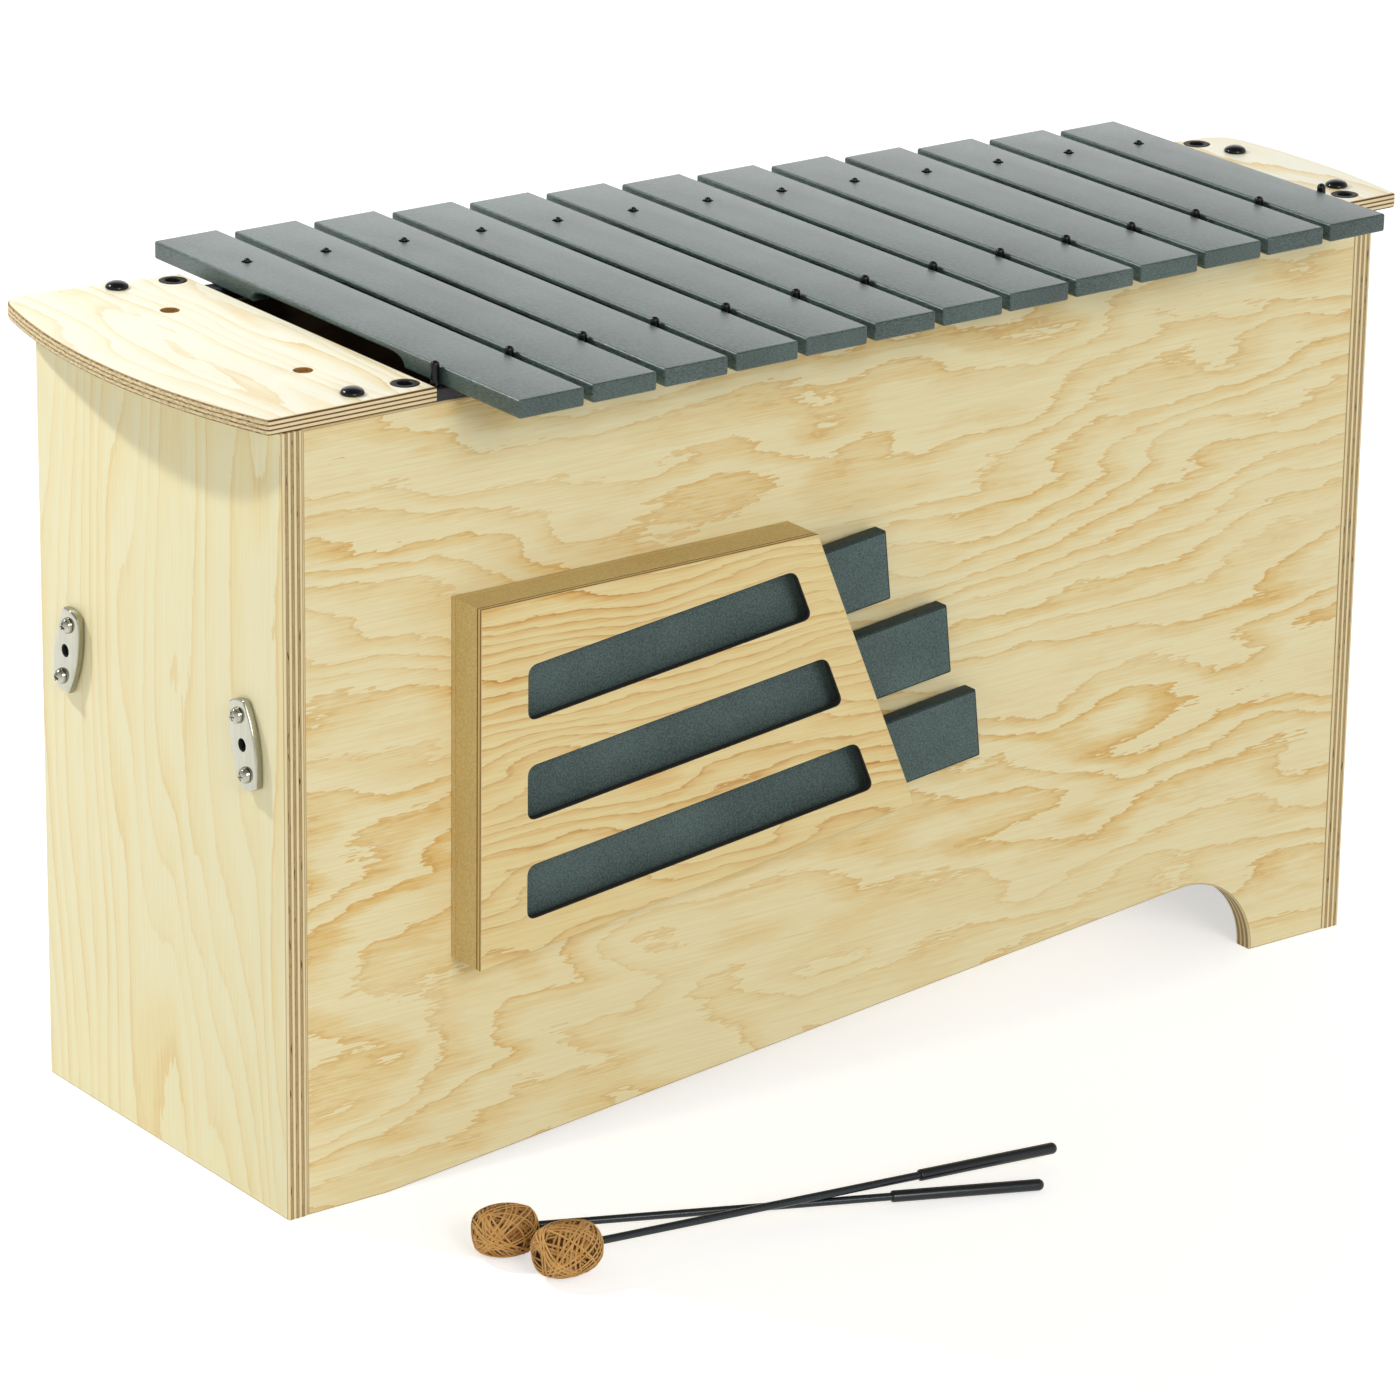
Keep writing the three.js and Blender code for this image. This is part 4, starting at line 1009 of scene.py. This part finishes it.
def yarn_strands(seed):
    """Closed rounds of yarn: circles offset n + sqrt(1 - offset^2)(cos t e1 + sin t e2) of a unit ball.

    A first band of level rounds covers the core. Bands of a few spaced rounds with tilted n lie over it,
    each a little higher than the one before, and keep clear of the stick."""
    draw = np.random.default_rng(seed)
    t = np.linspace(0, 2 * math.pi, STRAND_POINTS, endpoint=False)[:, None]
    gap = YARN / HEAD_RADIUS
    lines, normals, layers = [], [], []
    for band in range(YARN_BANDS + 1):
        tilt, count, step, middle = 0.0, FIRST_ROUNDS, FIRST_SPACING * gap, 0.0
        if band:
            tilt = math.radians(draw.uniform(*BAND_TILTS))
            count = int(draw.integers(*BAND_ROUNDS))
            step = BAND_SPACING * gap
            middle = draw.uniform(-BAND_SHIFT, BAND_SHIFT)
        spin = band * BAND_TURN + draw.uniform(-BAND_TURN_SPREAD, BAND_TURN_SPREAD)
        n = np.array([math.cos(tilt), math.sin(tilt) * math.cos(spin), math.sin(tilt) * math.sin(spin)])
        e1 = np.array([0, math.sin(spin), -math.cos(spin)])
        e2 = np.cross(n, e1)
        depth = YARN_PILE * (1 - band / YARN_BANDS)
        for k in range(count):
            shift = draw.uniform(-ROUND_SHIFT, ROUND_SHIFT) * gap * min(band, 1)
            offset = middle + (k - (count - 1) / 2) * step + shift
            lift = draw.uniform(-ROUND_LIFT, ROUND_LIFT)
            reach = math.acos(offset)
            if min(abs(reach - tilt), abs(math.pi - reach - tilt)) < STICK_CLEAR:
                continue
            ball = offset * n + math.sqrt(1 - offset**2) * (np.cos(t) * e1 + np.sin(t) * e2)
            lines.append(barrel(ball, lift - YARN / 2 - depth))
            normals.append(ball)
            layers.append(band)
    return np.array(lines), np.array(normals), np.array(layers)


def make_mallet(who, scale, seed):
    """Wound yarn, core, rod and sleeve, with profiles along the stick from the head's middle."""
    head, along, level, up = mallet_frame(who)
    axes = (level, up, along)
    middle = head - np.array([0, 0, (1 - scale) * HEAD_RADIUS])
    wound = tubes(*yarn_strands(seed), YARN / 2)
    wound[0]["points"] = middle + scale * wound[0]["points"] @ np.array([along, level, up])
    piece(f"{who}_wound_yarn", wound, [yarn_cotton], who, [f"{who}_yarn"], math.pi)
    rod_start, rod_end = STICK_RECESS - HEAD_HALF_LENGTH, MALLET_REACH - STICK_INSET
    angles = np.linspace(CORE_OPENINGS[0], math.pi - CORE_OPENINGS[1], CORE_STEPS)
    side = scale * barrel(np.c_[-np.cos(angles), np.sin(angles), 0 * angles], CORE_RISE - YARN - YARN_PILE)
    core = np.vstack([[(CORE_BORE, rod_start)], side[:, [1, 0]],
                      [(CORE_BORE, HEAD_HALF_LENGTH - CORE_INSET), (CORE_BORE, rod_start)]])
    piece(f"{who}_head_core", turned(core, [middle], axes), [head_core], who,
          [f"{who}_core"])
    rod = [(0, rod_start), (STICK_RADIUS - STICK_CHAMFER, rod_start),
           (STICK_RADIUS, rod_start + STICK_CHAMFER), (STICK_RADIUS, rod_end), (0, rod_end)]
    piece(f"{who}_rod", turned(rod, [head], axes, THIN_SIDES), [fibre_rod], who,
          [f"{who}_stick"])
    grip_start = MALLET_REACH - GRIP_LENGTH
    bore = STICK_RADIUS + CLEAR
    edge = bore + STICK_CHAMFER
    inside = [(0, rod_end + STICK_CHAMFER), (bore, rod_end), (bore, grip_start + FIT), (edge, grip_start)]
    rim = curve((edge + CLEAR, grip_start), (GRIP_RADIUS, grip_start),
                (GRIP_RADIUS, grip_start + GRIP_EDGE), SLEEVE_STEPS)
    sleeve = np.vstack([inside, rim, dome(GRIP_RADIUS, MALLET_REACH - GRIP_RADIUS, GRIP_RADIUS)])
    piece(f"{who}_sleeve", turned(sleeve, [head], axes), [grip_sleeve], who, [f"{who}_grip"])


# Stage


def looking_rays(add):
    """Whether a ray comes from the camera, and whether it comes by a mirror or through glass."""
    path = add("LightPath")
    mirrored = add("Math", {0: path.outputs["Is Glossy Ray"], 1: path.outputs["Is Transmission Ray"]},
                   operation="MAXIMUM")
    return path.outputs["Is Camera Ray"], mirrored


def make_floor():
    """White floor that keeps the object's shadow: matt paint, lifted to white where it is looked at."""
    made, shader, add = new_material("white_floor")
    straight, mirrored = looking_rays(add)
    seen = add("Math", {0: straight, 1: mirrored}, operation="MAXIMUM")
    glow = add("Math", {0: seen, 1: FLOOR_GLOW}, operation="MULTIPLY")
    feed(shader, {"Base Color": "#efefef", "Roughness": 0.9, "Specular IOR Level": 0.0,
                  "Emission Color": "#ffffff", "Emission Strength": glow})
    mesh = bpy.data.meshes.new("floor")
    corners = [(-1, -1), (1, -1), (1, 1), (-1, 1)]
    mesh.from_pydata([(FLOOR_REACH * x, FLOOR_REACH * y, 0) for x, y in corners], [], [(0, 1, 2, 3)])
    mesh.materials.append(made)
    put("floor", mesh)


def make_room():
    """White surroundings under a dim ceiling, which the camera sees as plain white."""
    world = bpy.data.worlds.new("white_room")
    bpy.context.scene.world = world
    world.use_nodes = True
    world.node_tree.nodes.clear()
    add = partial(node, world.node_tree)
    straight, mirrored = looking_rays(add)
    level = add("MapRange", {"Value": mirrored, "To Min": ROOM_LIGHT, "To Max": 1.0})
    height = add("SeparateXYZ", {0: add("TexCoord").outputs["Generated"]})
    ceiling = add("MapRange", {"Value": height.outputs["Z"], "From Min": CEILING_START, "To Min": 1.0,
                               "To Max": CEILING_LIGHT})
    room = add("Math", {0: level, 1: ceiling}, operation="MULTIPLY")
    strength = add("Math", {0: straight, 1: room}, operation="MAXIMUM")
    back = add("Background", {"Color": "#ffffff", "Strength": strength})
    add("OutputWorld", {"Surface": back})


def make_lamps():
    """A lamp behind on the left, a soft fill from the front and a broad glow from behind on the right
    that gives the bars their sheen."""
    aim = Vector(CORNER + np.array((0, LEFT_DEPTH / 2, AIM_HEIGHT)) * MM)
    for name, (kind, power, breadth, way) in LAMPS.items():
        light = bpy.data.lights.new(name, kind)
        light.energy = power
        setattr(light, "size" if kind == "AREA" else "angle", breadth)
        holder = put(name, light)
        holder.location = aim + Vector(way).normalized() * LAMP_DISTANCE
        holder.rotation_euler = (-Vector(way)).to_track_quat("-Z", "Y").to_euler()
        holder.visible_camera = False


def make_camera():
    """Camera at the photograph's place: on a line back from the target, rolled a little about it."""
    view = bpy.data.cameras.new("camera")
    view.lens = LENS
    view.sensor_width = SENSOR
    level, rise = math.cos(CAMERA_ELEVATION), math.sin(CAMERA_ELEVATION)
    back = Vector((math.sin(CAMERA_AZIMUTH) * level, -math.cos(CAMERA_AZIMUTH) * level, rise))
    target = Vector(CORNER + np.array(CAMERA_TARGET) * MM)
    turn = (-back).to_track_quat("-Z", "Y").to_matrix() @ Matrix.Rotation(CAMERA_ROLL, 3, "Z")
    made = put("camera", view)
    made.matrix_world = Matrix.Translation(target + back * CAMERA_DISTANCE) @ turn.to_4x4()
    bpy.context.scene.camera = made


make_camera()
make_floor()
make_room()
make_lamps()
make_box()
make_top_boards()
make_bars(*make_rails())
make_holder()
make_spare_bars()
make_plates()
for mallet, (head_scale, winding_seed) in MALLETS.items():
    make_mallet(mallet, head_scale, winding_seed)
bpy.context.scene.view_settings.view_transform = "Standard"

bpy.context.view_layer.update()
